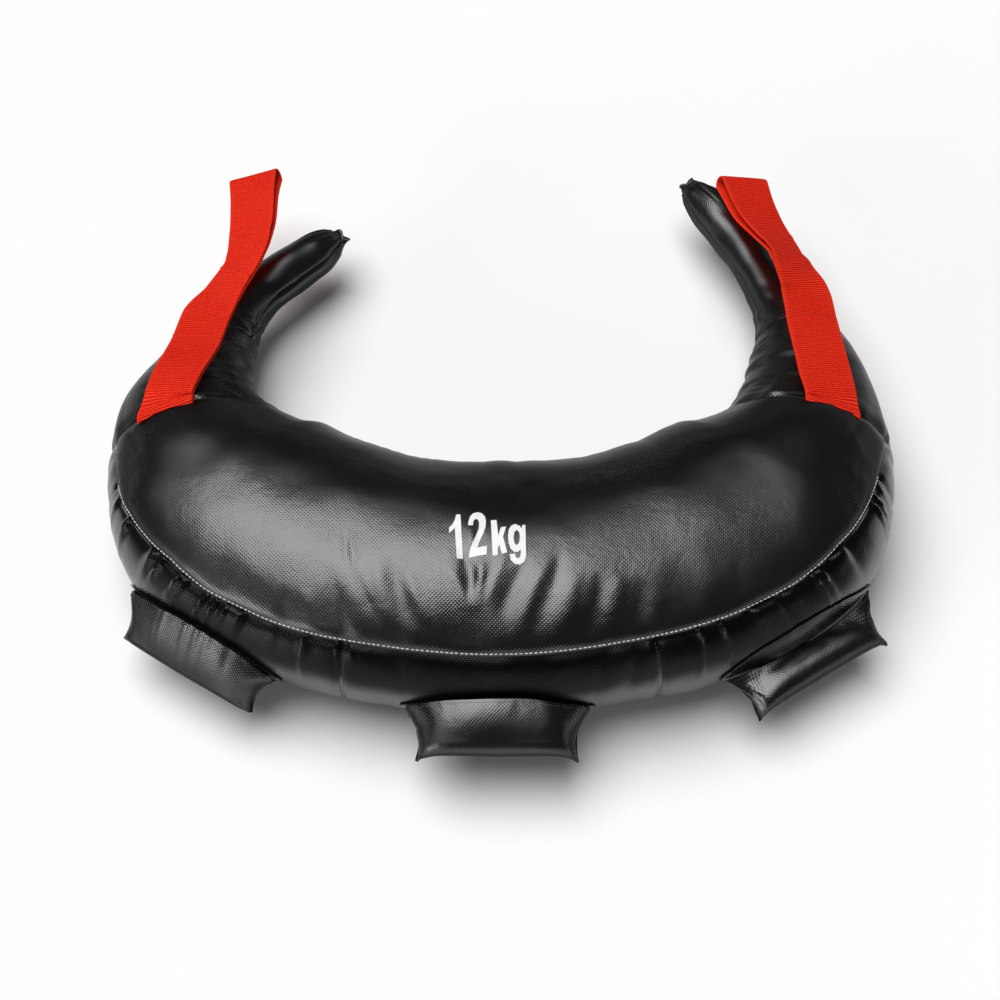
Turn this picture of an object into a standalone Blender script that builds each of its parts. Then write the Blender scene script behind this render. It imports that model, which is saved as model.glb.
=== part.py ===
"""Bulgarian bag: a weighted leather crescent with two horns, two webbing loops and three side grips.

The bag lies on its back panel. +Z is up, +Y points to the horns and +X to the bag's right horn
as seen from above the front panel. The origin is on the floor, under the middle of the bag's
bounding box. A place along the crescent is a station: 0 is the middle section, 5 the widest
place of the centre line and 10 the tip of a horn, and stations to the left are negative. A place
round a section is a turn in degrees: 0 is the outer edge, 90 the top and 180 the inner edge.
"""
from math import acos, asin, cos, degrees, pi, radians, sin, sqrt

import bmesh
import bpy
from mathutils import Vector

# Crescent
crescent_half_span = 0.262
crescent_rise = 0.168
body_depth = 0.216
body_height = 0.160

# Horns
horn_diameter = 0.041
horn_lie_height = 0.052
left_horn_rise = 0.206
left_horn_reach = 0.112
right_horn_rise = 0.262
right_horn_reach = 0.086
horn_tip_length = 0.009
horn_tip_width = 0.017
horn_tip_thickness = 0.005
horn_tip_overlap = 0.005

# Leather, inner bag and stuffing
leather_thickness = 0.0012
liner_thickness = 0.0008
wadding_thickness = 0.026
ballast_neck_radius = 0.009
layer_gap = 0.0004
seam_gap = 0.0004

# Horn joints
horn_flex_limit = 15
ball_inset = 0.007
root_setback = 0.002
joint_gap = 0.0004
swing_clearance = 0.0006

# Webbing loops
webbing_width = 0.045
webbing_thickness = 0.0018
webbing_lift = 0.0006
loop_gap = 0.012
loop_shift = 0.004
left_loop_reach = 0.143
right_loop_reach = 0.162

# Side grips
grip_length = 0.035
grip_roll_diameter = 0.028
grip_base_length = 0.146
grip_outer_length = 0.127
grip_edge_thickness = 0.0032
grip_fold_thickness = 0.0028
grip_ear_length = 0.004
grip_side_pull = 0.006
grip_seam_turn = -7
left_grip_droop = 58
middle_grip_droop = 30
right_grip_droop = 36
left_grip_raise = 75
middle_grip_raise = 60
right_grip_raise = 75
flap_gap = 0.0005
band_half_height = 0.010
band_overhang = 0.004

# Shares and steps of the fine shapes
probe_step = 0.01
seam_probe_turn = 20
ball_latitudes = [0, 18, 36, 54, 70, 84]
neck_setbacks = 3
cup_steps = 4
tip_ring_shares = [(0.35, 1.0, 1.4), (0.7, 0.85, 0.9), (1.0, 0.9, 0.6)]

# Stations of the crescent: x and y of the centre line, depth, height and height of the centre,
# as shares of the half span, the rise, the body's depth, its height and half of the own height.
body_shares = [
    (0.000, 0.000, 1.000, 1.000, 0.925),
    (0.275, 0.036, 0.986, 1.000, 0.925),
    (0.588, 0.179, 1.000, 0.988, 0.925),
    (0.863, 0.488, 0.954, 0.950, 0.922),
    (0.966, 0.780, 0.741, 0.875, 0.930),
    (1.000, 1.000, 0.620, 0.762, 0.967),
]

# Stations of a horn: inward reach, rise, diameter and height of the centre, as shares of the
# horn's reach, rise, diameter and lie height.
left_horn_shares = [
    (0.06, 0.28, 2.00, 1.06),
    (0.16, 0.51, 1.56, 1.00),
    (0.38, 0.69, 1.15, 0.98),
    (0.69, 0.85, 1.00, 0.96),
    (1.00, 1.00, 0.54, 0.94),
]
right_horn_shares = [
    (0.00, 0.26, 2.20, 1.08),
    (0.16, 0.46, 1.20, 1.02),
    (0.34, 0.63, 0.98, 1.00),
    (0.63, 0.82, 0.98, 1.02),
    (1.00, 1.00, 0.56, 1.04),
]

# Seams
gusset_half_turn = 37
inner_seam_turn = 160
gusset_cross_station = 1.35
gusset_end_station = 3.65
horn_seam_station = 4.45
cross_seam_station = 6.5
taper_start_station = 3.0
taper_end_station = 4.1
last_station = 10

# Webbing path: station and turn where it rides on the horn root, its lift above the skin as a
# share of the horn's diameter and its roll in degrees, then the free part as shares of the loop's
# reach inward, along and down, with its roll.
left_ride_shares = [
    (4.45, 76, 0.00, 26),
    (5.10, 81, 0.08, 19),
    (5.80, 84, 0.16, 14),
    (6.50, 84, 0.28, 14),
    (7.20, 84, 0.42, 18),
]
right_ride_shares = [
    (4.45, 77, 0.00, 26),
    (5.10, 83, 0.06, 20),
    (5.80, 85, 0.14, 18),
    (6.50, 76, 0.30, 20),
]
left_free_shares = [
    (0.10, 0.22, 0.01, 34),
    (0.13, 0.45, 0.03, 26),
    (0.13, 0.70, 0.05, 12),
    (0.11, 0.92, 0.07, 8),
]
right_free_shares = [
    (0.01, 0.12, -0.03, 24),
    (0.07, 0.34, -0.02, 38),
    (0.17, 0.58, 0.00, 20),
    (0.24, 0.83, 0.03, 6),
]
path_steps = 3
loop_open_start_share = 0.25
loop_open_end_share = 0.60
fold_steps = 6

# Side grips: name, station of the middle, droop and how far each one lifts from there
grip_places = [
    ("left", -2.40, left_grip_droop, left_grip_raise),
    ("middle", -0.03, middle_grip_droop, middle_grip_raise),
    ("right", 2.40, right_grip_droop, right_grip_raise),
]
band_end_share = 0.3
grip_line_shares = [-1.0, -0.93, -0.82, -0.64, -0.36, 0.0, 0.36, 0.64, 0.82, 0.93, 1.0]
core_line_shares = [-0.82, -0.64, -0.36, 0.0, 0.36, 0.64, 0.82]
pillow_power = 4
section_steps = 8
core_steps = 12


def spread(low, high, count):
    """Return count + 1 even values from low to high."""
    return [low + (high - low) * i / count for i in range(count + 1)]


def crescent_rows():
    """Return x, y, half depth, half height and centre height at stations -10 to 10."""
    middle = []
    for x, y, depth, height, lie in body_shares:
        half_height = height * body_height / 2
        middle.append((x * crescent_half_span, y * crescent_rise, depth * body_depth / 2,
                       half_height, lie * half_height))
    sides = []
    for shares, reach, rise in ((left_horn_shares, left_horn_reach, left_horn_rise),
                                (right_horn_shares, right_horn_reach, right_horn_rise)):
        side = []
        for inward, along, size, lie in shares:
            radius = size * horn_diameter / 2
            side.append((crescent_half_span - inward * reach, crescent_rise + along * rise,
                         radius, radius, lie * horn_lie_height))
        sides.append(side)
    left = [(-row[0],) + row[1:] for row in middle[1:] + sides[0]]
    return left[::-1] + middle + sides[1]


rows = crescent_rows()
chords = [Vector((b[0] - a[0], b[1] - a[1])).length for a, b in zip(rows, rows[1:])]


def row_slope(index, item):
    """Return the slope of one value at a row, weighted by the lengths on either side."""
    steps = []
    for k in (index - 1, index):
        if 0 <= k < len(chords):
            steps.append(((rows[k + 1][item] - rows[k][item]) / chords[k], chords[k]))
    if len(steps) == 1:
        return steps[0][0]
    (before, length_before), (after, length_after) = steps
    return (length_after * before + length_before * after) / (length_before + length_after)


def spine(station):
    """Return the row of values at a station and the direction of the centre line in plan."""
    place = min(max(station + last_station, 0), 2 * last_station)
    k = min(int(place), len(chords) - 1)
    w = place - k
    values, slopes = [], []
    for item in range(5):
        start, end = rows[k][item], rows[k + 1][item]
        leave, reach = row_slope(k, item) * chords[k], row_slope(k + 1, item) * chords[k]
        values.append((2 * w**3 - 3 * w**2 + 1) * start + (w**3 - 2 * w**2 + w) * leave
                      + (3 * w**2 - 2 * w**3) * end + (w**3 - w**2) * reach)
        slopes.append((6 * w**2 - 6 * w) * (start - end) + (3 * w**2 - 4 * w + 1) * leave
                      + (3 * w**2 - 2 * w) * reach)
    return values, Vector((slopes[0], slopes[1], 0)).normalized()


def spine_point(station):
    """Return the centre of the section at a station."""
    values, _ = spine(station)
    return Vector((values[0], values[1], values[4]))


def outward(station):
    """Return the horizontal direction from the centre line to the outer edge."""
    _, along = spine(station)
    return Vector((along.y, -along.x, 0))


def skin(station, turn, depth):
    """Return the point at a station and a turn, a depth below the bag's surface."""
    values, _ = spine(station)
    side = outward(station) * (values[2] - depth) * cos(radians(turn))
    height = values[4] + (values[3] - depth) * sin(radians(turn))
    return Vector((values[0] + side.x, values[1] + side.y, max(depth, height)))


def shifted(station, length):
    """Return the station that lies a length further along the centre line."""
    run = (spine_point(station + probe_step) - spine_point(station - probe_step)).length
    return station + length * 2 * probe_step / run


def trimmed(station, turn, station_side, turn_side):
    """Return a grid place moved by half a seam gap, away from the seams that it lies on."""
    if station_side:
        ahead, behind = skin(station + probe_step, turn, 0), skin(station - probe_step, turn, 0)
        station += station_side * seam_gap * probe_step / (ahead - behind).length
    if turn_side:
        ahead, behind = skin(station, turn + 1, 0), skin(station, turn - 1, 0)
        turn += turn_side * seam_gap / (ahead - behind).length
    return station, turn


def skin_grid(stations, turns, depth, wrap):
    """Return rows of skin points, trimmed at the seams. The depth is a function of station."""
    grid = []
    rising = 1 if stations[-1] > stations[0] else -1
    for i, station in enumerate(stations):
        line = []
        for j, turn in enumerate(turns):
            station_side = rising * ((i == 0) - (i == len(stations) - 1))
            turn_side = 0 if wrap else (j == 0) - (j == len(turns) - 1)
            place, angle = trimmed(station, turn, station_side, turn_side)
            line.append(skin(place, angle, depth(station)))
        grid.append(line)
    return grid


# The lines that all layers share, so that their facets stay parallel.
gusset_turns = spread(-gusset_half_turn, gusset_half_turn, 4)
front_turns = spread(gusset_half_turn, inner_seam_turn, 7)
back_turns = spread(inner_seam_turn, 360 - gusset_half_turn, 9)
ring_turns = gusset_turns[:-1] + front_turns[:-1] + back_turns[:-1]
upper_turns = gusset_turns[2:-1] + front_turns
lower_turns = back_turns[:-1] + [360 + turn for turn in gusset_turns[:3]]

middle_stations = spread(-gusset_cross_station, gusset_cross_station, 6)
flank_stations = spread(gusset_cross_station, gusset_end_station, 5)
end_stations = spread(gusset_end_station, horn_seam_station, 3)


def mirrored(values):
    """Return the values of the other side, in rising order."""
    return [-value for value in reversed(values)]


body_stations = (mirrored(end_stations)[:-1] + mirrored(flank_stations)[:-1] + middle_stations
                 + flank_stations[1:] + end_stations[1:])
cavity_stations = [s for s in body_stations if abs(s) < taper_end_station]

# Depths of the layers
wadding_depth = leather_thickness + layer_gap
cavity_depth = wadding_depth + wadding_thickness


def taper(station):
    """Return how far the ballast's end has closed at a station, from 0 to 1."""
    w = (abs(station) - taper_start_station) / (taper_end_station - taper_start_station)
    w = min(max(w, 0), 1)
    return w * w * (3 - 2 * w)


def cavity(station):
    """Return the depth of the wadding's inner face, which closes to a neck at both ends."""
    values, _ = spine(station)
    narrow = min(values[2], values[3]) - ballast_neck_radius
    return cavity_depth + taper(station) * (narrow - cavity_depth)


def liner_outside(station):
    """Return the depth of the inner bag's outer face."""
    return cavity(station) + layer_gap


def liner_inside(station):
    """Return the depth of the inner bag's inner face."""
    return liner_outside(station) + liner_thickness


def ballast_surface(station):
    """Return the depth of the ballast's surface."""
    return liner_inside(station) + layer_gap


def new_collection(name):
    """Make a collection for the bag's parts."""
    collection = bpy.data.collections.new(name)
    bpy.context.scene.collection.children.link(collection)
    return collection


def finish(name, colour, roughness, metallic=0.0):
    """Return a Principled material."""
    material = bpy.data.materials.new(name)
    material.use_nodes = True
    shader = material.node_tree.nodes["Principled BSDF"]
    shader.inputs["Base Color"].default_value = (*colour, 1.0)
    shader.inputs["Roughness"].default_value = roughness
    shader.inputs["Metallic"].default_value = metallic
    material.diffuse_color = (*colour, 1.0)
    return material


def leather(name):
    """Black leather cloth."""
    return finish(name, (0.012, 0.012, 0.013), 0.32)


def webbing(name):
    """Red polyester webbing."""
    return finish(name, (0.80, 0.028, 0.012), 0.75)


def wadding(name):
    """White polyester wadding."""
    return finish(name, (0.82, 0.82, 0.80), 0.95)


def canvas(name):
    """Grey woven cloth of the inner bag."""
    return finish(name, (0.35, 0.35, 0.33), 0.9)


def grit(name):
    """Iron grit and sand."""
    return finish(name, (0.30, 0.25, 0.19), 0.85)


def foam(name):
    """Dark grey foam roll."""
    return finish(name, (0.08, 0.08, 0.085), 0.9)


def empty(name, place, parent):
    """Make an empty at a place given in the bag's own coordinates."""
    marker = bpy.data.objects.new(name, None)
    marker.empty_display_size = horn_diameter
    parts.objects.link(marker)
    marker.parent = parent
    marker.location = place - origin_of(parent)
    return marker


def origin_of(marker):
    """Return an empty's place in the bag's own coordinates."""
    if marker is None or marker.parent is None:
        return Vector((0, 0, 0))
    return origin_of(marker.parent) + marker.location


def add_object(name, shape, make_finish, parent):
    """Turn a bmesh in the bag's coordinates into an object with its origin on its parent."""
    place = origin_of(parent)
    for vertex in shape.verts:
        extent.append(vertex.co.copy())
        vertex.co -= place
    mesh = bpy.data.meshes.new(name)
    shape.to_mesh(mesh)
    shape.free()
    mesh.shade_smooth()
    mesh.set_sharp_from_angle(angle=radians(40))
    item = bpy.data.objects.new(name, mesh)
    item.data.materials.append(make_finish(name + "_finish"))
    parts.objects.link(item)
    item.parent = parent
    return item


def bridge(shape, first, second, wrap):
    """Join two lines of vertices with quads."""
    count = len(first) if wrap else len(first) - 1
    for j in range(count):
        k = (j + 1) % len(first)
        shape.faces.new((first[j], first[k], second[k], second[j]))


def closed_shell(name, outer, inner, wrap, make_finish, parent):
    """Make a wall between two grids of the same size, with a rim along each open edge."""
    shape = bmesh.new()
    outer = [[shape.verts.new(point) for point in line] for line in outer]
    inner = [[shape.verts.new(point) for point in line] for line in inner]
    for grid in (outer, inner):
        for first, second in zip(grid, grid[1:]):
            bridge(shape, first, second, wrap)
    for end in (0, -1):
        bridge(shape, outer[end], inner[end], wrap)
        if not wrap:
            bridge(shape, [line[end] for line in outer], [line[end] for line in inner], False)
    bmesh.ops.recalc_face_normals(shape, faces=shape.faces)
    return add_object(name, shape, make_finish, parent)


def lofted_solid(name, rings, make_finish, parent):
    """Make a solid through closed rings, with a flat face on the first and the last."""
    shape = bmesh.new()
    lines = [[shape.verts.new(point) for point in ring] for ring in rings]
    for first, second in zip(lines, lines[1:]):
        bridge(shape, first, second, True)
    shape.faces.new(lines[0])
    shape.faces.new(lines[-1])
    bmesh.ops.recalc_face_normals(shape, faces=shape.faces)
    return add_object(name, shape, make_finish, parent)


def solidified_sheet(name, grid, thickness, wrap, inside, make_finish, parent):
    """Make an open sheet that a Solidify modifier thickens towards the point inside it."""
    shape = bmesh.new()
    lines = [[shape.verts.new(point) for point in line] for line in grid]
    for first, second in zip(lines, lines[1:]):
        bridge(shape, first, second, wrap)
    shape.normal_update()
    middle = min(shape.faces, key=lambda face: (face.calc_center_median() - inside).length)
    if middle.normal.dot(middle.calc_center_median() - inside) < 0:
        bmesh.ops.reverse_faces(shape, faces=shape.faces)
    item = add_object(name, shape, make_finish, parent)
    wall = item.modifiers.new("wall", "SOLIDIFY")
    wall.thickness = thickness
    wall.offset = -1
    return item


def leather_panel(name, stations, turns, parent, wrap=False):
    """Make one leather piece of the bag's skin."""
    outer = skin_grid(stations, turns, lambda station: 0, wrap)
    inner = skin_grid(stations, turns, lambda station: leather_thickness, wrap)
    return closed_shell(name, outer, inner, wrap, leather, parent)


def body_panels(parent):
    """Make the front and back panels and the strips of the outer edge."""
    leather_panel("front_panel", body_stations, front_turns, parent)
    leather_panel("back_panel", body_stations, back_turns, parent)
    leather_panel("gusset_middle", middle_stations, gusset_turns, parent)
    leather_panel("gusset_right", flank_stations, gusset_turns, parent)
    leather_panel("gusset_left", mirrored(flank_stations), gusset_turns, parent)
    leather_panel("gusset_end_right", end_stations, gusset_turns, parent)
    leather_panel("gusset_end_left", mirrored(end_stations), gusset_turns, parent)


def body_filling(parent):
    """Make the wadding, the inner bag and the ballast."""
    for name, turns in (("wadding_upper", upper_turns), ("wadding_lower", lower_turns)):
        outer = skin_grid(body_stations, turns, lambda station: wadding_depth, False)
        inner = skin_grid(body_stations, turns, cavity, False)
        closed_shell(name, outer, inner, False, wadding, parent)
    for name, turns in (("liner_front", upper_turns), ("liner_back", lower_turns)):
        outer = skin_grid(cavity_stations, turns, liner_outside, False)
        inner = skin_grid(cavity_stations, turns, liner_inside, False)
        closed_shell(name, outer, inner, False, canvas, parent)
    rings = skin_grid(cavity_stations, ring_turns, ballast_surface, True)
    lofted_solid("ballast_fill", rings, grit, parent)


class HornJoint:
    """Sizes of the ball and cup where one horn flexes at its cross seam."""

    def __init__(self, side):
        self.side = side
        self.station = side * cross_seam_station
        values, self.along = spine(self.station)
        self.along = self.along * side
        self.centre = spine_point(self.station)
        self.radius = min(values[2], values[3])
        self.ball_radius = self.radius - ball_inset
        self.root_end = self.past(-root_setback)
        self.mouth = self.past(self.mouth_offset())

    def past(self, length):
        """Return the station a length past the joint, towards the horn's tip."""
        return shifted(self.station, self.side * length)

    def mouth_offset(self):
        """Return how far past the joint the horn's sleeve starts, to clear the root when bent."""
        limit = radians(horn_flex_limit)
        reach = (self.radius * sin(limit) - root_setback + swing_clearance) / cos(limit)
        _, along = spine(self.past(reach))
        bend = self.along.angle(along * self.side)
        return reach + self.radius * sin(bend)


def sphere_ring(joint, axis, radius, latitude):
    """Return a ring of a ball at the joint, square to an axis, with the skin's own turns."""
    centre = joint.centre + axis * radius * sin(latitude)
    side = Vector((axis.y, -axis.x, 0)) * joint.side
    ring = []
    for turn in ring_turns:
        spoke = side * cos(radians(turn)) + Vector((0, 0, 1)) * sin(radians(turn))
        ring.append(centre + spoke * radius * cos(latitude))
    return ring


def horn_root(label, joint, parent):
    """Make a horn root's leather and its wadding, which ends in the joint's ball."""
    side = joint.side
    stations = spread(horn_seam_station, abs(joint.root_end), 5)
    stations = [side * station for station in stations]
    leather_panel("horn_root_" + label, stations, ring_turns, parent, wrap=True)
    neck = joint.past(-neck_setbacks * root_setback)
    rings = skin_grid(stations[:-1] + [neck], ring_turns, lambda station: wadding_depth, True)
    for latitude in ball_latitudes:
        rings.append(sphere_ring(joint, joint.along, joint.ball_radius, radians(latitude)))
    lofted_solid("horn_root_wadding_" + label, rings, wadding, parent)


def cup_rings(joint):
    """Return the rings of the horn core's hollow, from its bottom to its rim."""
    _, along = spine(joint.mouth)
    axis = along * joint.side
    facet = radians(360 / len(ring_turns)) / 2
    clear = joint.ball_radius + joint_gap
    radius = clear / cos(facet) / cos(facet)
    rim = asin((spine_point(joint.mouth) - joint.centre).dot(axis) / radius)
    bottom = asin(clear / radius)
    return [sphere_ring(joint, axis, radius, a) for a in spread(bottom, rim, cup_steps)]


def tip_ring(joint, length, width, thickness):
    """Return a flattened ring a length past the horn's tip, square to the horn."""
    station = joint.side * last_station
    _, along = spine(station)
    centre = spine_point(station) + along * joint.side * length
    side = outward(station)
    ring = []
    for turn in ring_turns:
        ring.append(centre + side * width / 2 * cos(radians(turn))
                    + Vector((0, 0, thickness / 2 * sin(radians(turn)))))
    return ring


def horn(label, joint, parent):
    """Make a horn's sleeve, its stuffing and its folded end, which flex on the joint."""
    side = joint.side
    pivot = empty("horn_flex_" + label, joint.centre, parent)
    stations = [side * s for s in spread(abs(joint.mouth), last_station, 7)]
    grid = [[skin(s, turn, 0) for turn in ring_turns] for s in stations]
    inside = spine_point(stations[4])
    solidified_sheet("horn_sleeve_" + label, grid, leather_thickness, True, inside, leather, pivot)
    core = cup_rings(joint)
    for station in stations[:-1]:
        core.append([skin(station, turn, wadding_depth) for turn in ring_turns])
    lofted_solid("horn_core_" + label, core, wadding, pivot)
    end = side * last_station
    plug = [shifted(end, -side * horn_tip_overlap), end]
    rings = [[skin(station, turn, wadding_depth) for turn in ring_turns] for station in plug]
    for along, wide, thick in tip_ring_shares:
        rings.append(tip_ring(joint, horn_tip_length * along, horn_tip_width * wide,
                              horn_tip_thickness * thick))
    lofted_solid("horn_tip_" + label, rings, leather, pivot)
    return pivot


def webbing_path(joint, ride_shares, free_shares, reach):
    """Return the loop's centre line on the horn root and past it, with its roll at each point."""
    side = joint.side
    under = webbing_lift + webbing_thickness + layer_gap / 2
    path = []
    for station, turn, lift, roll in ride_shares:
        point = skin(side * station, turn, -under)
        path.append((point + Vector((0, 0, lift * horn_diameter)), roll))
    start = path[-1][0]
    for inward, along, down, roll in free_shares:
        step = Vector((-side * inward, along, -down)) * reach
        path.append((start + step, roll))
    return path


def smooth_path(path):
    """Return points and rolls on a smooth curve through the path's own points."""
    points = [point for point, _ in path]
    rolls = [roll for _, roll in path]
    result = []
    for k in range(len(path) - 1):
        before, after = max(k - 1, 0), min(k + 2, len(path) - 1)
        for i in range(path_steps):
            w = i / path_steps
            leave = (points[k + 1] - points[before]) / 2
            arrive = (points[after] - points[k]) / 2
            point = (points[k] * (2 * w**3 - 3 * w**2 + 1) + leave * (w**3 - 2 * w**2 + w)
                     + points[k + 1] * (3 * w**2 - 2 * w**3) + arrive * (w**3 - w**2))
            result.append((point, rolls[k] + (rolls[k + 1] - rolls[k]) * w))
    result.append(path[-1])
    return result


def seam_direction(joint, ride_shares):
    """Return the direction of the horn seam where the webbing is sewn in."""
    station, turn, _, _ = ride_shares[0]
    low = skin(joint.side * station, turn - seam_probe_turn, 0)
    high = skin(joint.side * station, turn + seam_probe_turn, 0)
    return (high - low).normalized()


def webbing_rings(joint, path, ride_shares):
    """Return the cross sections of the folded webbing, from one sewn end to the other."""
    side = joint.side
    seam = seam_direction(joint, ride_shares)
    frames = []
    for k, (point, roll) in enumerate(path):
        ahead = path[min(k + 1, len(path) - 1)][0] - path[max(k - 1, 0)][0]
        ahead.normalize()
        across = Vector((ahead.y, -ahead.x, 0)).normalized() * -side
        tilt = radians(roll)
        across = across * cos(tilt) + Vector((0, 0, sin(tilt)))
        across = (across - ahead * across.dot(ahead)).normalized()
        up = across.cross(ahead) * -side
        half = across * webbing_width / 2
        if k == 0:
            half = seam * (webbing_width / 2 / abs(seam.dot(across)))
            up = (up - seam * up.dot(seam)).normalized()
        frames.append((point, half, up, ahead))
    rings = []
    tight = layer_gap / 2 + webbing_thickness / 2
    for layer in (1, -1):
        order = range(len(frames)) if layer > 0 else range(len(frames) - 1, -1, -1)
        for k in order:
            point, half, up, ahead = frames[k]
            share = k / (len(frames) - 1) - loop_open_start_share
            open_share = min(max(share / (loop_open_end_share - loop_open_start_share), 0), 1)
            offset = tight + (loop_gap - layer_gap) / 2 * open_share * open_share
            drift = half.normalized() * loop_shift * open_share * (layer < 0)
            rings.append(webbing_ring(point + up * offset * layer + drift, half, up * layer))
        if layer > 0:
            rings.extend(fold_rings(frames[-1]))
    return rings


def webbing_ring(centre, half, up):
    """Return the four corners of the webbing's section."""
    rise = up * webbing_thickness / 2
    return [centre - half - rise, centre + half - rise, centre + half + rise, centre - half + rise]


def fold_rings(frame):
    """Return the sections round the far fold, between the two layers."""
    point, half, up, ahead = frame
    radius = (loop_gap + webbing_thickness) / 2
    rings = []
    for i in range(1, fold_steps):
        angle = pi * i / fold_steps
        out = up * cos(angle) + ahead * sin(angle)
        drift = half.normalized() * loop_shift * i / fold_steps
        rings.append(webbing_ring(point + out * radius + drift, half, out))
    return rings


def strap(label, joint, ride_shares, free_shares, reach, parent):
    """Make one webbing loop, which swings up from the horn seam."""
    path = smooth_path(webbing_path(joint, ride_shares, free_shares, reach))
    pivot = empty("strap_swing_" + label, path[0][0], parent)
    rings = webbing_rings(joint, path, ride_shares)
    lofted_solid("strap_" + label, rings, webbing, pivot)
    return pivot


class Grip:
    """Sizes and places of one side grip, which droops from its seam by an angle."""

    def __init__(self, station, droop, lift):
        self.station = station
        self.foot = skin(station, grip_seam_turn, 0)
        self.out = outward(station)
        self.along = Vector((-self.out.y, self.out.x, 0))
        self.band_top = layer_gap + leather_thickness
        self.edge = grip_fold_thickness / 2
        steepest = radians(max(droop, lift - droop))
        self.hinge_out = self.band_top + self.edge * sin(steepest) + flap_gap
        self.hinge = self.foot + self.out * self.hinge_out
        up = Vector((0, 0, 1))
        self.length = self.out * cos(radians(droop)) - up * sin(radians(droop))
        self.thick = self.out * sin(radians(droop)) + up * cos(radians(droop))

    def station_at(self, distance):
        """Return the station whose outer edge lies a distance along the grip from its middle."""
        low, high = self.station - 2, self.station + 2
        for _ in range(40):
            middle = (low + high) / 2
            if (skin(middle, grip_seam_turn, 0) - self.foot).dot(self.along) < distance:
                low = middle
            else:
                high = middle
        return (low + high) / 2

    def radius(self, share):
        """Return the sleeve's half thickness at a share of the half length."""
        pillow = sqrt(max(1 - abs(share) ** pillow_power, 0))
        return (grip_edge_thickness + (grip_roll_diameter - grip_edge_thickness) * pillow) / 2

    def base(self, share):
        """Return the sewn edge's place along the grip's length and thickness."""
        station = self.station_at(share * grip_base_length / 2)
        place = skin(station, grip_seam_turn, 0) - self.foot
        return Vector((place.dot(self.length), place.dot(self.thick)))

    def centre(self, share):
        """Return the roll's centre along the grip's length and thickness."""
        ear = grip_ear_length * abs(share) ** (2 * pillow_power)
        return Vector((grip_length - self.hinge_out + ear - self.radius(share), 0))

    def place(self, share, flat):
        """Return a point of the grip, whose sides slant in and are pulled in between corners."""
        base = self.base(share)
        run = self.centre(share) - base
        done = (flat - base).dot(run) / run.length / (run.length + self.radius(share))
        done = min(max(done, 0), 1)
        half = (grip_base_length * (1 - done) + grip_outer_length * done) / 2
        pull = grip_side_pull * sin(pi * done) * abs(share) ** pillow_power
        return (self.hinge + self.along * share * (half - pull) + self.length * flat.x
                + self.thick * flat.y)

    def section(self, share):
        """Return the sleeve's open section, from the upper sewn edge round to the lower one."""
        radius, base, centre = self.radius(share), self.base(share), self.centre(share)
        run = (centre - base).normalized()
        over = Vector((-run.y, run.x))
        touch = pi - acos(min(radius / (centre - base).length, 1))
        arc = [centre + (run * cos(a) + over * sin(a)) * radius
               for a in spread(touch, -touch, section_steps)]
        upper, lower = base + over * self.edge, base - over * self.edge
        points = [upper, (upper + arc[0]) / 2] + arc + [(lower + arc[-1]) / 2, lower]
        return [self.place(share, point) for point in points]

    def core_ring(self, share):
        """Return a ring of the foam roll inside the sleeve."""
        radius = (self.radius(share) - leather_thickness) * cos(pi / section_steps) - 2 * layer_gap
        middle = self.place(share, self.centre(share))
        turns = [radians(turn) for turn in spread(0, 360, core_steps)[:-1]]
        return [middle + (self.length * cos(a) + self.thick * sin(a)) * radius for a in turns]


def grip_band(label, grip, parent):
    """Make the lens-shaped band on the outer edge, under the grip's sewn edge."""
    half = grip_base_length / 2 + band_overhang
    outer, inner = [], []
    for share in spread(-1, 1, 10):
        station = grip.station_at(share * half)
        values, _ = spine(station)
        swell = band_half_height * sqrt(1 - (1 - band_end_share**2) * share**2)
        turn = degrees(asin(swell / values[3]))
        turns = spread(grip_seam_turn - turn, grip_seam_turn + turn, 2)
        outer.append([skin(station, a, -grip.band_top) for a in turns])
        inner.append([skin(station, a, -layer_gap) for a in turns])
    closed_shell("grip_band_" + label, outer, inner, False, leather, parent)


def side_grip(label, station, droop, lift, parent):
    """Make one side grip: its band on the body, and its sleeve and roll on the flap joint."""
    grip = Grip(station, droop, lift)
    grip_band(label, grip, parent)
    pivot = empty("grip_flap_" + label, grip.hinge, parent)
    grid = [grip.section(share) for share in grip_line_shares]
    inside = grip.place(0, grip.centre(0))
    solidified_sheet("grip_sleeve_" + label, grid, leather_thickness, False, inside, leather, pivot)
    rings = [grip.core_ring(share) for share in core_line_shares]
    lofted_solid("grip_core_" + label, rings, foam, pivot)
    return pivot, -grip.along


def clear_scene():
    """Remove the scene's objects."""
    for item in list(bpy.data.objects):
        bpy.data.objects.remove(item, do_unlink=True)


clear_scene()
parts = new_collection("bulgarian_bag")
extent = []

bag = empty("bag_frame", Vector((0, 0, 0)), None)
body_panels(bag)
body_filling(bag)
pivots = []
for label, side, ride, free, reach in (
        ("left", -1, left_ride_shares, left_free_shares, left_loop_reach),
        ("right", 1, right_ride_shares, right_free_shares, right_loop_reach)):
    joint = HornJoint(side)
    horn_root(label, joint, bag)
    pivots.append((horn(label, joint, bag), Vector((0, 0, 1))))
    seam = seam_direction(joint, ride)
    pivots.append((strap(label, joint, ride, free, reach, bag), seam * -side))
for label, station, droop, lift in grip_places:
    pivots.append(side_grip(label, station, droop, lift, bag))

low = Vector([min(point[i] for point in extent) for i in range(3)])
high = Vector([max(point[i] for point in extent) for i in range(3)])
bag.location = Vector((-(low.x + high.x) / 2, -(low.y + high.y) / 2, 0))
bpy.context.view_layer.update()

print("box", [round(value, 5) for value in (high - low)], "lowest", round(low.z, 6))
for pivot, axis in pivots:
    print(pivot.name, [round(value, 5) for value in pivot.matrix_world.translation],
          "axis", [round(value, 5) for value in axis])
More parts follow.
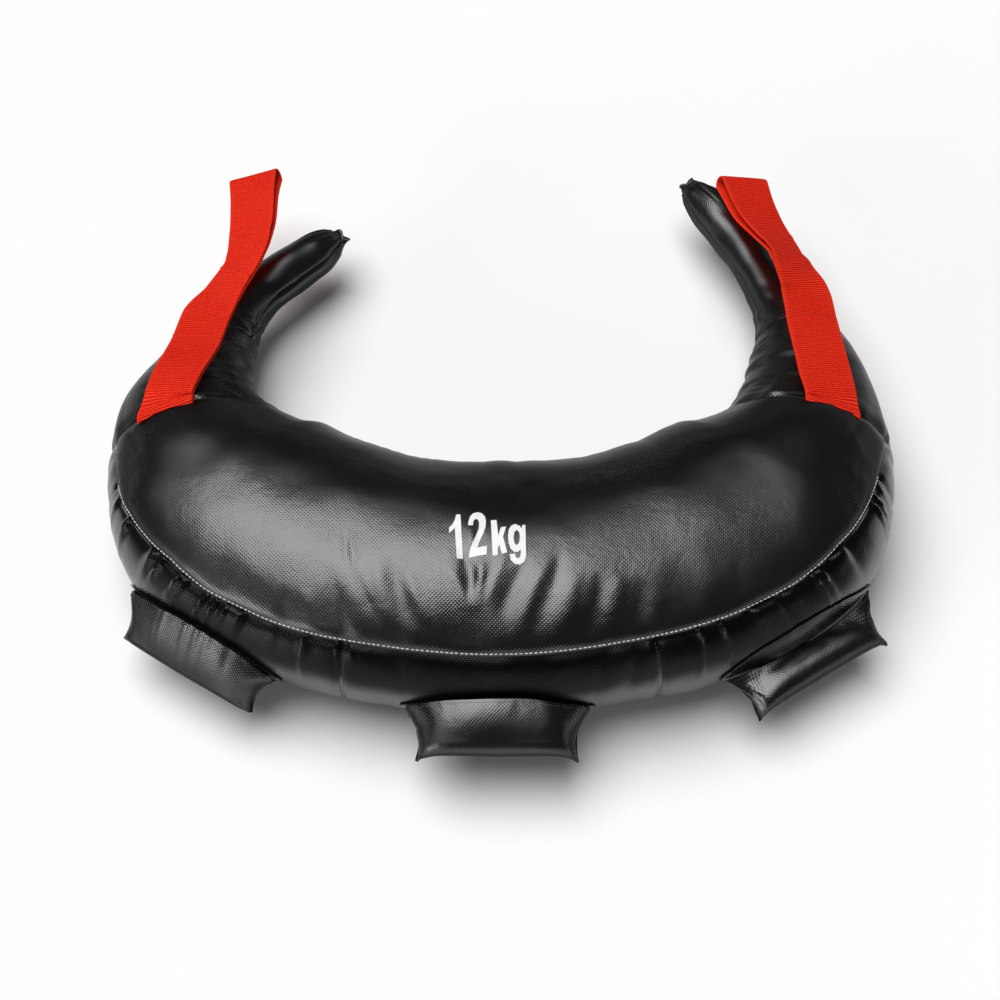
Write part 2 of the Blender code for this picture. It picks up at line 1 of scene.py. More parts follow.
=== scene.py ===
"""Dresses the bulgarian bag: embossed leather, webbing loops, horns, side grips and filling.

Lengths are in metres. A place on the bag's skin is a station along the crescent (0 the middle
section, 5 the end of the body, 10 a horn's tip, negative to the left) and a turn in degrees round
the section (0 the outer edge, 90 the top, 180 the inner edge).
"""
from __future__ import annotations

import logging
import math
from dataclasses import dataclass, field
from enum import Enum
from typing import Iterable, Sequence

import bpy
import numpy as np
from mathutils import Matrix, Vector
from mathutils.geometry import delaunay_2d_cdt


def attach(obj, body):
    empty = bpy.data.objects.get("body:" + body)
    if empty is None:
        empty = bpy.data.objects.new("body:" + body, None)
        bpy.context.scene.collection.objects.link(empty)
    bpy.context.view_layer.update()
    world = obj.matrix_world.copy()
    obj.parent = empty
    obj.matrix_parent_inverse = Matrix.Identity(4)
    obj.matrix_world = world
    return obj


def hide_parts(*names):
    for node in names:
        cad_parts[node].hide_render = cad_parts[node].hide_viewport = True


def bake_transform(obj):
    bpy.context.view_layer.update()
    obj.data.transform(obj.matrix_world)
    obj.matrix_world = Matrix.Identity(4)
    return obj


Array = np.ndarray
Item, Material, Socket = bpy.types.Object, bpy.types.Material, bpy.types.NodeSocket
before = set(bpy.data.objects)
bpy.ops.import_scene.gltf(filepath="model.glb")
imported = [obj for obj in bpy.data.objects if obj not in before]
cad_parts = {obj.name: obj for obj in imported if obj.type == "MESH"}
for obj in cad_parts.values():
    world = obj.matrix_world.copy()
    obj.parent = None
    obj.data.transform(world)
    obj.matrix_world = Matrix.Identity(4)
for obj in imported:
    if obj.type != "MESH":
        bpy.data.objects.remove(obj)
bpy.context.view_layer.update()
LOG = logging.getLogger("bulgarian_bag")

OUTER_LINE, TOP_LINE, INNER_LINE = 32, 90, 160
FULL_TURN = 360
TINY = 1e-12


class Side(Enum):
    """The bag's left and right, as signs of the station."""

    LEFT = -1
    RIGHT = 1

    @property
    def label(self) -> str:
        """Return the side's word in node names."""
        return self.name.lower()


def ease(value: Array | float) -> Array:
    """Return a smooth step of a value between 0 and 1."""
    value = np.clip(value, 0.0, 1.0)
    return value * value * (3 - 2 * value)


def unit(vectors: Array) -> Array:
    """Return vectors scaled to length 1."""
    return vectors / np.maximum(np.linalg.norm(vectors, axis=-1, keepdims=True), TINY)


def lengths(points: Array) -> Array:
    """Return the length run up to each point of a line, from 0."""
    return np.concatenate([[0], np.cumsum(np.linalg.norm(np.diff(points, axis=0), axis=1))])


def paired(station: Array | float, turn: Array | float) -> tuple[Array, Array]:
    """Return stations and turns as arrays of one shape."""
    return np.broadcast_arrays(np.asarray(station, float), np.asarray(turn, float))


def cubic(start: Array, end: Array, leave: Array, arrive: Array, w: Array) -> Array:
    """Return points at shares w on the cubic between two ends with their slopes."""
    return ((2 * w**3 - 3 * w**2 + 1) * start + (w**3 - 2 * w**2 + w) * leave
            + (3 * w**2 - 2 * w**3) * end + (w**3 - w**2) * arrive)


class Lattice:
    """Smooth random values on a line or a plane, the same on every run."""

    size: int = 4099
    row_step: float = 71.0

    def __init__(self, seed: int) -> None:
        """Fill the table of values from a seed."""
        self.values = np.random.default_rng(seed).uniform(-1, 1, self.size)

    def pick(self, index: Array) -> Array:
        """Return the table's values at whole numbers."""
        return self.values[index % self.size]

    def line(self, x: Array) -> Array:
        """Return values along a line, one new value per unit."""
        cell = np.floor(x).astype(int)
        w = ease(x - cell)
        return self.pick(cell) * (1 - w) + self.pick(cell + 1) * w

    def plane(self, x: Array, y: Array) -> Array:
        """Return values over a plane, one new value per unit each way."""
        row = np.floor(y).astype(int)
        w = ease(y - row)
        return (self.line(x + row * self.row_step) * (1 - w)
                + self.line(x + (row + 1) * self.row_step) * w)


# The bag's form


@dataclass
class CrescentForm:
    """The bag's smooth form: a row of sections along the crescent and both horns."""

    half_span: float = 0.262
    rise: float = 0.168
    depth: float = 0.216
    height: float = 0.160
    horn_diameter: float = 0.041
    horn_lie: float = 0.052
    left_horn: tuple[float, float] = (0.112, 0.206)
    right_horn: tuple[float, float] = (0.086, 0.262)
    middle: tuple[float, float] = (0.00008, -0.14995)
    floor_softness: float = 0.005
    tip: float = 10.0
    samples: int = 2001
    body_shares: tuple = (
        (0.000, 0.000, 1.000, 1.000, 0.925), (0.275, 0.036, 0.986, 1.000, 0.925),
        (0.588, 0.179, 1.000, 0.988, 0.925), (0.863, 0.488, 0.954, 0.950, 0.922),
        (0.966, 0.780, 0.741, 0.875, 0.930), (1.000, 1.000, 0.620, 0.762, 0.967))
    left_shares: tuple = (
        (0.06, 0.28, 2.00, 1.06), (0.16, 0.51, 1.56, 1.00), (0.38, 0.69, 1.15, 0.98),
        (0.69, 0.85, 1.00, 0.96), (1.00, 1.00, 0.54, 0.94))
    right_shares: tuple = (
        (0.00, 0.26, 2.20, 1.08), (0.16, 0.46, 1.20, 1.02), (0.34, 0.63, 0.98, 1.00),
        (0.63, 0.82, 0.98, 1.02), (1.00, 1.00, 0.56, 1.04))
    rows: Array = field(init=False)
    chords: Array = field(init=False)
    slopes: Array = field(init=False)
    stations: Array = field(init=False)
    runs: dict[int, Array] = field(init=False)

    def __post_init__(self) -> None:
        """Work out the rows, their slopes and the lengths along three lines of the skin."""
        body = []
        for x, y, deep, high, lie in self.body_shares:
            half = high * self.height / 2
            body.append((x * self.half_span, y * self.rise, deep * self.depth / 2, half, lie * half))
        left = [(-row[0],) + row[1:] for row in body[1:] + self.horn_rows(Side.LEFT)]
        self.rows = np.array(left[::-1] + body + self.horn_rows(Side.RIGHT))
        self.chords = np.hypot(*np.diff(self.rows[:, :2], axis=0).T)
        grades = np.diff(self.rows, axis=0) / self.chords[:, None]
        before, after = self.chords[:-1, None], self.chords[1:, None]
        inner = (after * grades[:-1] + before * grades[1:]) / (before + after)
        self.slopes = np.vstack([grades[:1], inner, grades[-1:]])
        self.stations = np.linspace(-self.tip, self.tip, self.samples)
        self.runs = {}
        for turn in (OUTER_LINE, TOP_LINE, INNER_LINE):
            run = lengths(self.skin(self.stations, np.full(self.samples, float(turn))))
            self.runs[turn] = run - run[self.samples // 2]

    def horn_rows(self, side: Side) -> list[tuple]:
        """Return the rows of one horn, as if it stood on the right."""
        shares, (reach, rise) = self.left_shares, self.left_horn
        if side is Side.RIGHT:
            shares, (reach, rise) = self.right_shares, self.right_horn
        rows = []
        for inward, along, size, lie in shares:
            radius = size * self.horn_diameter / 2
            rows.append((self.half_span - inward * reach, self.rise + along * rise, radius,
                         radius, lie * self.horn_lie))
        return rows

    def spine(self, station: Array) -> tuple[Array, Array]:
        """Return the row of values at stations, and the direction of the centre line in plan.

        Args:
            station: places along the crescent.

        Returns:
            The rows, and the level directions.
        """
        place = np.clip(station + self.tip, 0, 2 * self.tip)
        k = np.minimum(place.astype(int), len(self.chords) - 1)
        w = (place - k)[..., None]
        start, end, chord = self.rows[k], self.rows[k + 1], self.chords[k][..., None]
        leave, reach = self.slopes[k] * chord, self.slopes[k + 1] * chord
        values = cubic(start, end, leave, reach, w)
        change = ((6 * w**2 - 6 * w) * (start - end) + (3 * w**2 - 4 * w + 1) * leave
                  + (3 * w**2 - 2 * w) * reach)
        return values, unit(change[..., :2])

    def outward(self, station: Array) -> Array:
        """Return the level direction from the centre line to the outer edge."""
        _, along = self.spine(station)
        return np.stack([along[..., 1], -along[..., 0], np.zeros(along.shape[:-1])], -1)

    def centre(self, station: Array) -> Array:
        """Return the centre of the section at stations."""
        values, _ = self.spine(station)
        return np.stack([values[..., 0] + self.middle[0], values[..., 1] + self.middle[1],
                         values[..., 4]], -1)

    def skin(self, station: Array, turn: Array, depth: Array | float = 0.0) -> Array:
        """Return points at stations and turns, a depth below the smooth skin.

        Args:
            station: places along the crescent.
            turn: degrees round the section.
            depth: how far below the skin.

        Returns:
            The points, with the flat that the floor presses in rounded off.
        """
        station, turn = paired(station, turn)
        values, _ = self.spine(station)
        out = self.outward(station) * ((values[..., 2] - depth) * np.cos(np.radians(turn)))[..., None]
        height = values[..., 4] + (values[..., 3] - depth) * np.sin(np.radians(turn)) - depth
        height = (height + np.sqrt(height**2 + self.floor_softness**2)) / 2 + depth
        point = self.centre(station) + out
        point[..., 2] = height
        return point

    def normal(self, station: Array, turn: Array) -> Array:
        """Return the outward directions of the smooth skin."""
        along = self.skin(station + 0.004, turn) - self.skin(station - 0.004, turn)
        across = self.skin(station, turn + 0.4) - self.skin(station, turn - 0.4)
        normal = unit(np.cross(along, across))
        away = self.skin(station, turn) - self.centre(station)
        return normal * np.sign(np.sum(normal * away, -1, keepdims=True))

    def radius(self, station: Array, turn: Array) -> Array:
        """Return the skin's length per radian of turn."""
        values, _ = self.spine(station)
        angle = np.radians(turn)
        return np.hypot(values[..., 2] * np.sin(angle), values[..., 3] * np.cos(angle))

    def run(self, station: Array, turn: int) -> Array:
        """Return the length along one of the three measured lines, from the middle section."""
        return np.interp(station, self.stations, self.runs[turn])

    def girth(self, station: Array, turn: Array) -> Array:
        """Return the length round the section from the top to a turn, positive outwards."""
        values, _ = self.spine(station)
        share = np.radians(90.0) - np.radians(turn)
        a, b = values[..., 2], values[..., 3]
        steps = np.linspace(0, 1, 13)
        angle = np.pi / 2 - share[..., None] * steps
        rate = np.hypot(a[..., None] * np.sin(angle), b[..., None] * np.cos(angle))
        return share * (rate[..., :-1] + rate[..., 1:]).mean(-1) / 2

    def flat(self, station: Array, turn: Array) -> Array:
        """Return the place on the leather laid flat, which its emboss follows."""
        values, _ = self.spine(station)
        return values[..., :2] + self.outward(station)[..., :2] * self.girth(station, turn)[..., None]

    def strip(self, station: Array, turn: Array) -> Array:
        """Return the place on the strips of the outer edge laid flat."""
        return np.stack([self.run(station, OUTER_LINE), self.girth(station, turn)], -1)


@dataclass(frozen=True)
class Fold:
    """A ridge, or a valley where its height is negative, along a line on the flat leather."""

    start: tuple[float, float]
    end: tuple[float, float]
    height: float
    width: float
    bend: float = 0.0

    def relief(self, flat: Array) -> Array:
        """Return the fold's height at places on the flat leather."""
        start, end = np.array(self.start), np.array(self.end)
        run = end - start
        share = ((flat - start) @ run) / (run @ run)
        bow = self.bend * np.sin(np.pi * np.clip(share, 0, 1))
        miss = (flat - start) @ np.array((-run[1], run[0])) / math.hypot(*run) - bow
        wide = self.width * (0.6 + 0.6 * np.clip(share, 0, 1))
        return self.height * np.exp(-(miss / wide) ** 2) * ease(share / 0.4) * ease((1.15 - share) / 0.5)


FRONT_FOLDS = tuple(Fold(*values) for values in (
    ((-0.014, -0.014), (-0.019, -0.056), 0.0016, 0.0046),
    ((-0.034, -0.002), (-0.020, -0.050), -0.0016, 0.0060, 0.002),
    ((-0.044, -0.018), (-0.026, -0.060), 0.0010, 0.0052, 0.002),
    ((0.010, -0.004), (-0.014, -0.056), 0.0010, 0.0056, -0.002),
    ((0.000, -0.012), (-0.016, -0.052), -0.0008, 0.0036),
    ((0.026, -0.010), (-0.002, -0.072), -0.0013, 0.0070, -0.003),
    ((0.040, -0.012), (0.012, -0.080), 0.0010, 0.0062, -0.002),
    ((0.048, -0.004), (0.027, -0.072), -0.0012, 0.0066, 0.003),
    ((0.060, -0.018), (0.048, -0.078), 0.0009, 0.0070),
    ((-0.121, 0.014), (-0.104, -0.052), -0.0010, 0.0030, -0.005),
    ((-0.114, -0.010), (-0.094, -0.066), -0.0009, 0.0030, -0.004),
    ((-0.116, 0.012), (-0.100, -0.060), 0.0009, 0.0050, -0.006),
    ((-0.132, -0.016), (-0.118, -0.082), -0.0010, 0.0070, -0.003),
    ((-0.096, -0.012), (-0.080, -0.076), 0.0010, 0.0066, -0.003),
    ((-0.086, -0.010), (-0.064, -0.074), -0.0010, 0.0066, -0.003),
    ((-0.072, -0.022), (-0.052, -0.072), 0.0009, 0.0060, -0.003),
    ((-0.154, -0.030), (-0.144, -0.086), 0.0009, 0.0070),
    ((-0.172, -0.032), (-0.164, -0.084), -0.0008, 0.0080),
    ((0.078, -0.022), (0.066, -0.080), -0.0012, 0.0076, 0.002),
    ((0.094, -0.022), (0.084, -0.078), 0.0009, 0.0076),
    ((0.112, -0.026), (0.104, -0.078), -0.0009, 0.0080),
    ((-0.006, 0.074), (0.008, 0.034), 0.0010, 0.0110),
    ((0.028, 0.066), (0.008, 0.030), -0.0007, 0.0100),
    ((-0.026, 0.018), (-0.020, -0.012), 0.0008, 0.0040),
    ((-0.016, 0.010), (-0.020, -0.014), -0.0007, 0.0034),
))


@dataclass(frozen=True)
class Groove:
    """The soft groove of a seam, with a sharp bottom."""

    depth: float
    width: float

    def relief(self, miss: Array) -> Array:
        """Return the groove's height at distances from the seam."""
        return -self.depth * (0.72 * np.exp(-(miss / self.width) ** 2)
                              + 0.28 * np.exp(-np.abs(miss) / self.width * 3))


@dataclass(frozen=True)
class Pucker:
    """Random waves in the leather: their seed, height, spacing and reach from the seam."""

    seed: int
    height: float
    pitch: float
    reach: float = 0.0

    def wave(self, place: Array, shift: Array | float = 0.0) -> Array:
        """Return smooth values from -1 to 1 along a line."""
        return Lattice(self.seed).line(place / self.pitch + shift)

    def ridges(self, place: Array, shift: Array | float = 0.0, level: float = 0.35) -> Array:
        """Return values with a sharp valley at every change of sign, about a level."""
        return np.abs(self.wave(place, shift)) - level

    def fade(self, distance: Array) -> Array:
        """Return the share of the height that is left at distances from the seam."""
        return self.height * np.exp(-distance / self.reach)


@dataclass
class SkinRelief:
    """What lifts and sinks the skin: seams, gathers, folds and soft dents."""

    form: CrescentForm
    horn_seam: float = 4.45
    cross_seam: float = 6.5
    gusset_cross: float = 1.35
    gusset_end: float = 3.65
    inner_seam: float = 160.0
    bottom_seam: float = -37.0
    root_seam: float = 186.0
    horn_seams: tuple[float, float] = (154.0, 172.0)
    floor_gap: float = 0.0004
    seam_path: tuple = ((-4.45, 24), (-3.8, 26.5), (-3.55, 30), (-3.2, 35), (-2.7, 38), (-2.4, 35),
                        (-1.9, 34.2), (-1.35, 34.7), (0, 36.5), (1.35, 37), (2.0, 37.6), (2.4, 38.2),
                        (2.8, 41.8), (3.1, 40.6), (3.7, 36), (4.0, 30.5), (4.45, 26))
    outer_groove: Groove = Groove(0.0026, 0.0050)
    inner_groove: Groove = Groove(0.0022, 0.0045)
    bottom_groove: Groove = Groove(0.0020, 0.0045)
    gusset_groove: Groove = Groove(0.0019, 0.0036)
    horn_groove: Groove = Groove(0.0030, 0.0055)
    cross_groove: Groove = Groove(0.0014, 0.0032)
    sleeve_groove: Groove = Groove(0.0014, 0.0026)
    flank_gather: Pucker = Pucker(40, 0.0058, 0.0095, 0.017)
    middle_billow: Pucker = Pucker(42, 0.0034, 0.024, 0.028)
    front_wave: Pucker = Pucker(43, 0.0010, 0.015, 0.044)
    front_crimp: Pucker = Pucker(44, 0.0004, 0.0075, 0.010)
    inner_crimp: Pucker = Pucker(45, 0.0013, 0.0085, 0.008)
    inner_crest: Pucker = Pucker(46, 0.0018, 0.026, 0.024)
    under_crimp: Pucker = Pucker(47, 0.0018, 0.011, 0.014)
    seam_rays: Pucker = Pucker(48, 0.0032, 13.0, 0.022)
    root_ray_height: float = 0.0016
    neck_rings: Pucker = Pucker(49, 0.0024, 0.0105)
    horn_wave: Pucker = Pucker(50, 0.0009, 0.021)
    tip_pleats: Pucker = Pucker(51, 0.0022, 17.0)
    broad_dent: Pucker = Pucker(52, 0.0017, 0.062)
    small_dent: Pucker = Pucker(53, 0.00045, 0.024)
    tip_swell: float = 0.0036
    tip_draw: float = 0.0020

    def outer_seam(self, station: Array) -> Array:
        """Return the turn of the stitched outer seam, which rises from the ends to the middle."""
        return np.interp(station, *zip(*self.seam_path))

    def sleeve_seam(self, station: Array) -> Array:
        """Return the turn of the seam along the roots and the horns."""
        side = np.where(station < 0, *self.horn_seams)
        past = (np.abs(station) - self.cross_seam) / 0.01
        return self.root_seam + (side - self.root_seam) * ease(past)

    def seams(self, station: Array, turn: Array) -> Array:
        """Return the grooves of all seams.

        Args:
            station: places along the crescent.
            turn: degrees round the section.

        Returns:
            Their heights.
        """
        form, size = self.form, np.abs(station)
        radius = form.radius(station, turn)
        outer = np.radians(turn - self.outer_seam(station)) * radius
        inner = np.radians(turn - self.inner_seam) * radius
        low = np.abs(turn - self.bottom_seam)
        low = np.radians(np.minimum(low, np.abs(turn - self.bottom_seam - FULL_TURN))) * radius
        body = ease((self.horn_seam + 0.05 - size) / 0.1)
        relief = body * (self.outer_groove.relief(outer) + self.inner_groove.relief(inner)
                         + self.bottom_groove.relief(low))
        run = np.abs(form.run(station, OUTER_LINE))
        on_gusset = ease((self.outer_seam(station) - turn + 2) / 4) * ease((turn + 39) / 4)
        for place in (self.gusset_cross, self.gusset_end):
            miss = run - form.run(np.array(place), OUTER_LINE)
            relief = relief + on_gusset * self.gusset_groove.relief(miss)
        top = np.abs(form.run(station, TOP_LINE))
        for place, groove in ((self.horn_seam, self.horn_groove), (self.cross_seam, self.cross_groove)):
            relief = relief + groove.relief(top - form.run(np.array(place), TOP_LINE))
        back = (turn - self.sleeve_seam(station) + 180) % FULL_TURN - 180
        neck = ease((size - self.horn_seam) / 0.1)
        return relief + neck * self.sleeve_groove.relief(np.radians(back) * radius)

    def gusset_gathers(self, run: Array, below: Array, size: Array) -> Array:
        """Return the gathers under the outer seam: long on the flanks, wide in the middle.

        Args:
            run: lengths along the outer edge.
            below: distances under the seam.
            size: distances from the middle section, in stations.

        Returns:
            Their heights.
        """
        flank = ease((size - 1.1) / 0.6) * ease((3.7 - size) / 0.5)
        lean = run + below * 0.25 * np.sin(run * 19)
        long = np.exp(-(self.flank_gather.wave(lean) / 0.24) ** 2) - 0.36
        wide = self.middle_billow.ridges(lean, level=0.3)
        return (self.flank_gather.fade(below) * flank * long * ease(below / 0.0030)
                + self.middle_billow.fade(below) * (1 - flank) * wide * ease(below / 0.012))

    def front_gathers(self, run: Array, above: Array, size: Array) -> Array:
        """Return the waves and crimps of the front panel above the outer seam.

        Args:
            run: lengths along the outer edge.
            above: distances over the seam.
            size: distances from the middle section, in stations.

        Returns:
            Their heights.
        """
        wave, crimp = self.front_wave, self.front_crimp
        tilt = run - above * 0.35 * np.clip(run / 0.12, -1, 1)
        tall = wave.height * wave.wave(tilt, 3.3) * ease(above / 0.016)
        tall = tall * np.exp(-(above / wave.reach) ** 2) * (0.3 + 0.7 * ease((3.2 - size) / 2))
        return tall + crimp.fade(above) * crimp.ridges(run) * ease(above / 0.005)

    def gathers(self, station: Array, turn: Array) -> Array:
        """Return the puckers that run out from the seams.

        Args:
            station: places along the crescent.
            turn: degrees round the section.

        Returns:
            Their heights.
        """
        form, size = self.form, np.abs(station)
        radius = form.radius(station, turn)
        run, inner_run = form.run(station, OUTER_LINE), form.run(station, INNER_LINE)
        outer = np.radians(turn - self.outer_seam(station)) * radius
        gusset = (outer < 0) * self.gusset_gathers(run, np.maximum(-outer, 0), size)
        front = (outer > 0) * self.front_gathers(run, np.maximum(outer, 0), size)
        inner = np.abs(np.radians(turn - self.inner_seam) * radius)
        edge = sum(pucker.fade(inner) * pucker.ridges(inner_run)
                   for pucker in (self.inner_crimp, self.inner_crest))
        low = np.abs(np.radians(turn - self.bottom_seam) * radius)
        under = ease(low / 0.003) * self.under_crimp.fade(low) * self.under_crimp.ridges(run)
        body = ease((self.horn_seam + 0.1 - size) / 0.2)
        return body * (gusset + front + ease(inner / 0.003) * edge + under)

    def horn_folds(self, station: Array, turn: Array) -> Array:
        """Return the folds about the horn seams, the necks and along the horns.

        Args:
            station: places along the crescent.
            turn: degrees round the section.

        Returns:
            Their heights.
        """
        form, size, side = self.form, np.abs(station), np.sign(station)
        length = np.abs(form.run(station, TOP_LINE))
        past = length - form.run(np.array(self.horn_seam), TOP_LINE)
        reach = np.exp(-np.abs(past) / self.seam_rays.reach) * ease(np.abs(past) / 0.004)
        rays = self.seam_rays.ridges(turn, 40 * side + past * 18) * reach
        seam = np.where(past > 0, self.seam_rays.height, self.root_ray_height) * rays
        neck = ease((size - 4.6) / 0.5) * ease((8.6 - size) / 1.6)
        hollow = 0.5 + 0.5 * np.cos(np.radians(turn - 175))
        slant = 0.9 * np.cos(np.radians(turn - 60)) + 60 * side
        bend = self.neck_rings.height * neck * hollow * self.neck_rings.ridges(length, slant)
        slow = Lattice(self.horn_wave.seed).plane(length / self.horn_wave.pitch + 30 * side, turn / 45.0)
        soft = self.horn_wave.height * ease((size - 6.6) / 0.6) * slow
        pleats = self.tip_pleats.ridges(turn, 9 * side, 0.4)
        pleats = self.tip_pleats.height * ease((size - 9.1) / 0.9) * pleats
        full = (self.tip_swell * np.exp(-((size - 9.5) / 0.38) ** 2)
                - self.tip_draw * ease((size - 9.82) / 0.18))
        return seam + bend + soft + pleats + full

    def dents(self, station: Array, turn: Array) -> Array:
        """Return the broad dents of a filled bag."""
        flat = self.form.flat(station, turn)
        x, y, broad, small = flat[..., 0], flat[..., 1], self.broad_dent, self.small_dent
        dents = (broad.height * Lattice(broad.seed).plane(x / broad.pitch + 5, y / 0.050)
                 + small.height * Lattice(small.seed).plane(x / small.pitch + 9, y / 0.026 + 4))
        return ease((5.2 - np.abs(station)) / 1.2) * dents

    def height(self, station: Array, turn: Array) -> Array:
        """Return how far the dressed skin stands above the smooth one."""
        station, turn = paired(station, turn)
        relief = self.seams(station, turn) + self.gathers(station, turn)
        relief = relief + self.horn_folds(station, turn) + self.dents(station, turn)
        on_front = ease((turn - self.outer_seam(station)) / 4) * ease((self.inner_seam - turn) / 6)
        on_front = on_front * ease((4.3 - np.abs(station)) / 0.3)
        flat = self.form.flat(station, turn)
        return relief + on_front * sum(fold.relief(flat) for fold in FRONT_FOLDS)

    def surface(self, station: Array, turn: Array, depth: Array | float = 0.0) -> Array:
        """Return points of the dressed skin, a depth below it and never in the floor."""
        station, turn = paired(station, turn)
        lift = (self.height(station, turn) - depth)[..., None]
        point = self.form.skin(station, turn) + self.form.normal(station, turn) * lift
        point[..., 2] = np.maximum(point[..., 2], self.floor_gap + depth)
        return point


# Finishes


class NodeKit:
    """Adds and joins the nodes of one tree."""

    def __init__(self, tree: bpy.types.NodeTree) -> None:
        """Keep the tree."""
        self.tree = tree

    def add(self, kind: str, **settings: object) -> bpy.types.Node:
        """Add a node and set its properties and, by name, its sockets.

        Args:
            kind: the node's type name.
            settings: properties, or input sockets with underscores for spaces.

        Returns:
            The new node.
        """
        node = self.tree.nodes.new(kind)
        for key, value in settings.items():
            if hasattr(node, key):
                setattr(node, key, value)
            else:
                self.feed(node, key.replace("_", " "), value)
        return node

    def feed(self, node: bpy.types.Node, socket: str | int, value: object) -> None:
        """Set an input socket to a value, or link another node's output to it."""
        target = node.inputs[socket]
        if isinstance(value, Socket):
            self.tree.links.new(value, target)
        else:
            target.default_value = value


class Graph(NodeKit):
    """The nodes of one material."""

    def __init__(self, name: str) -> None:
        """Start a material with its Principled shader."""
        self.material = bpy.data.materials.new(name)
        self.material.use_nodes = True
        super().__init__(self.material.node_tree)
        self.shader = self.tree.nodes["Principled BSDF"]

    def shade(self, socket: str, value: object) -> None:
        """Feed an input of the Principled shader."""
        self.feed(self.shader, socket, value)

    def math(self, operation: str, first: object, second: object = 0.5) -> Socket:
        """Return the output of a Math node with two inputs."""
        node = self.add("ShaderNodeMath", operation=operation)
        self.feed(node, 0, first)
        self.feed(node, 1, second)
        return node.outputs[0]

    def wave(self, place: Socket, pitch: float) -> Socket:
        """Return a sine of a place, one wave per pitch."""
        return self.math("SINE", self.math("MULTIPLY", place, 2 * math.pi / pitch))

    def noise(self, scale: float, detail: float, place: Socket,
              distortion: float = 0.0) -> Socket:
        """Return the value of a noise at a place."""
        return self.add("ShaderNodeTexNoise", Vector=place, Scale=scale, Detail=detail,
                        Distortion=distortion).outputs["Fac"]

    def ramp(self, value: Socket, low: float, high: float, start: float = 0.0,
             end: float = 1.0, **settings: object) -> Socket:
        """Return a value moved from one range to another."""
        return self.add("ShaderNodeMapRange", Value=value, From_Min=start, From_Max=end,
                        To_Min=low, To_Max=high, **settings).outputs["Result"]

    def blend(self, share: object, first: Sequence[float],
              second: Sequence[float]) -> Socket:
        """Return a colour between two colours."""
        node = self.add("ShaderNodeMix", data_type="RGBA", Factor=share)
        self.feed(node, 6, (*first, 1.0))
        self.feed(node, 7, (*second, 1.0))
        return node.outputs[2]

    def bump(self, height: Socket, distance: float, strength: float,
             under: Socket | None = None) -> Socket:
        """Return a normal pushed about by a height, on top of another normal."""
        node = self.add("ShaderNodeBump", Height=height, Distance=distance, Strength=strength)
        if under is not None:
            self.feed(node, "Normal", under)
        return node.outputs["Normal"]

    def place(self, source: str) -> Socket:
        """Return the Object or UV output of the texture coordinates."""
        return self.add("ShaderNodeTexCoord").outputs[source]

    def axes(self, place: Socket) -> bpy.types.bpy_prop_collection:
        """Return the three coordinates of a place."""
        return self.add("ShaderNodeSeparateXYZ", Vector=place).outputs


@dataclass(frozen=True)
class LeatherFinish:
    """Glossy black coated leather with a fine emboss of slanting diamonds."""

    name: str = "black_leather"
    colour: tuple[float, float, float] = (0.0020, 0.0021, 0.0023)
    worn: tuple[float, float, float] = (0.0056, 0.0058, 0.0061)
    roughness: float = 0.225
    pitch: float = 0.0021
    emboss: float = 0.00013
    gloss: tuple[float, float] = (0.95, 0.045)
    turned: tuple[float, float] = (0.12, 0.54)

    def build(self) -> Material:
        """Make the material."""
        graph = Graph(self.name)
        flat, solid = graph.place("UV"), graph.place("Object")
        slanted = graph.add("ShaderNodeMapping", Vector=flat, Rotation=(0, 0, math.radians(45)))
        axes = graph.axes(slanted.outputs[0])
        waves = [graph.ramp(graph.wave(axes[n], self.pitch), 0, 1, -1, 1) for n in (0, 1)]
        grain = graph.noise(1100, 3, solid)
        normal = graph.bump(graph.noise(85, 4, solid, 0.6), 0.0011, 0.35)
        normal = graph.bump(grain, 0.00012, 0.35, normal)
        graph.shade("Normal", graph.bump(graph.math("MULTIPLY", *waves), self.emboss, 1.0, normal))
        patches = graph.noise(16, 4, solid, 0.3)
        wear = graph.ramp(patches, 0, 1, 0.45, 0.75)
        graph.shade("Base Color", graph.blend(wear, self.colour, self.worn))
        smear = graph.math("ADD", graph.ramp(patches, -0.03, 0.05), graph.ramp(grain, -0.05, 0.05))
        graph.shade("Roughness", graph.math("ADD", smear, self.roughness))
        facing = graph.add("ShaderNodeLayerWeight", Blend=0.5).outputs["Facing"]
        graph.shade("Specular IOR Level", graph.ramp(facing, *self.gloss, *self.turned,
                                                     interpolation_type="SMOOTHSTEP"))
        return graph.material


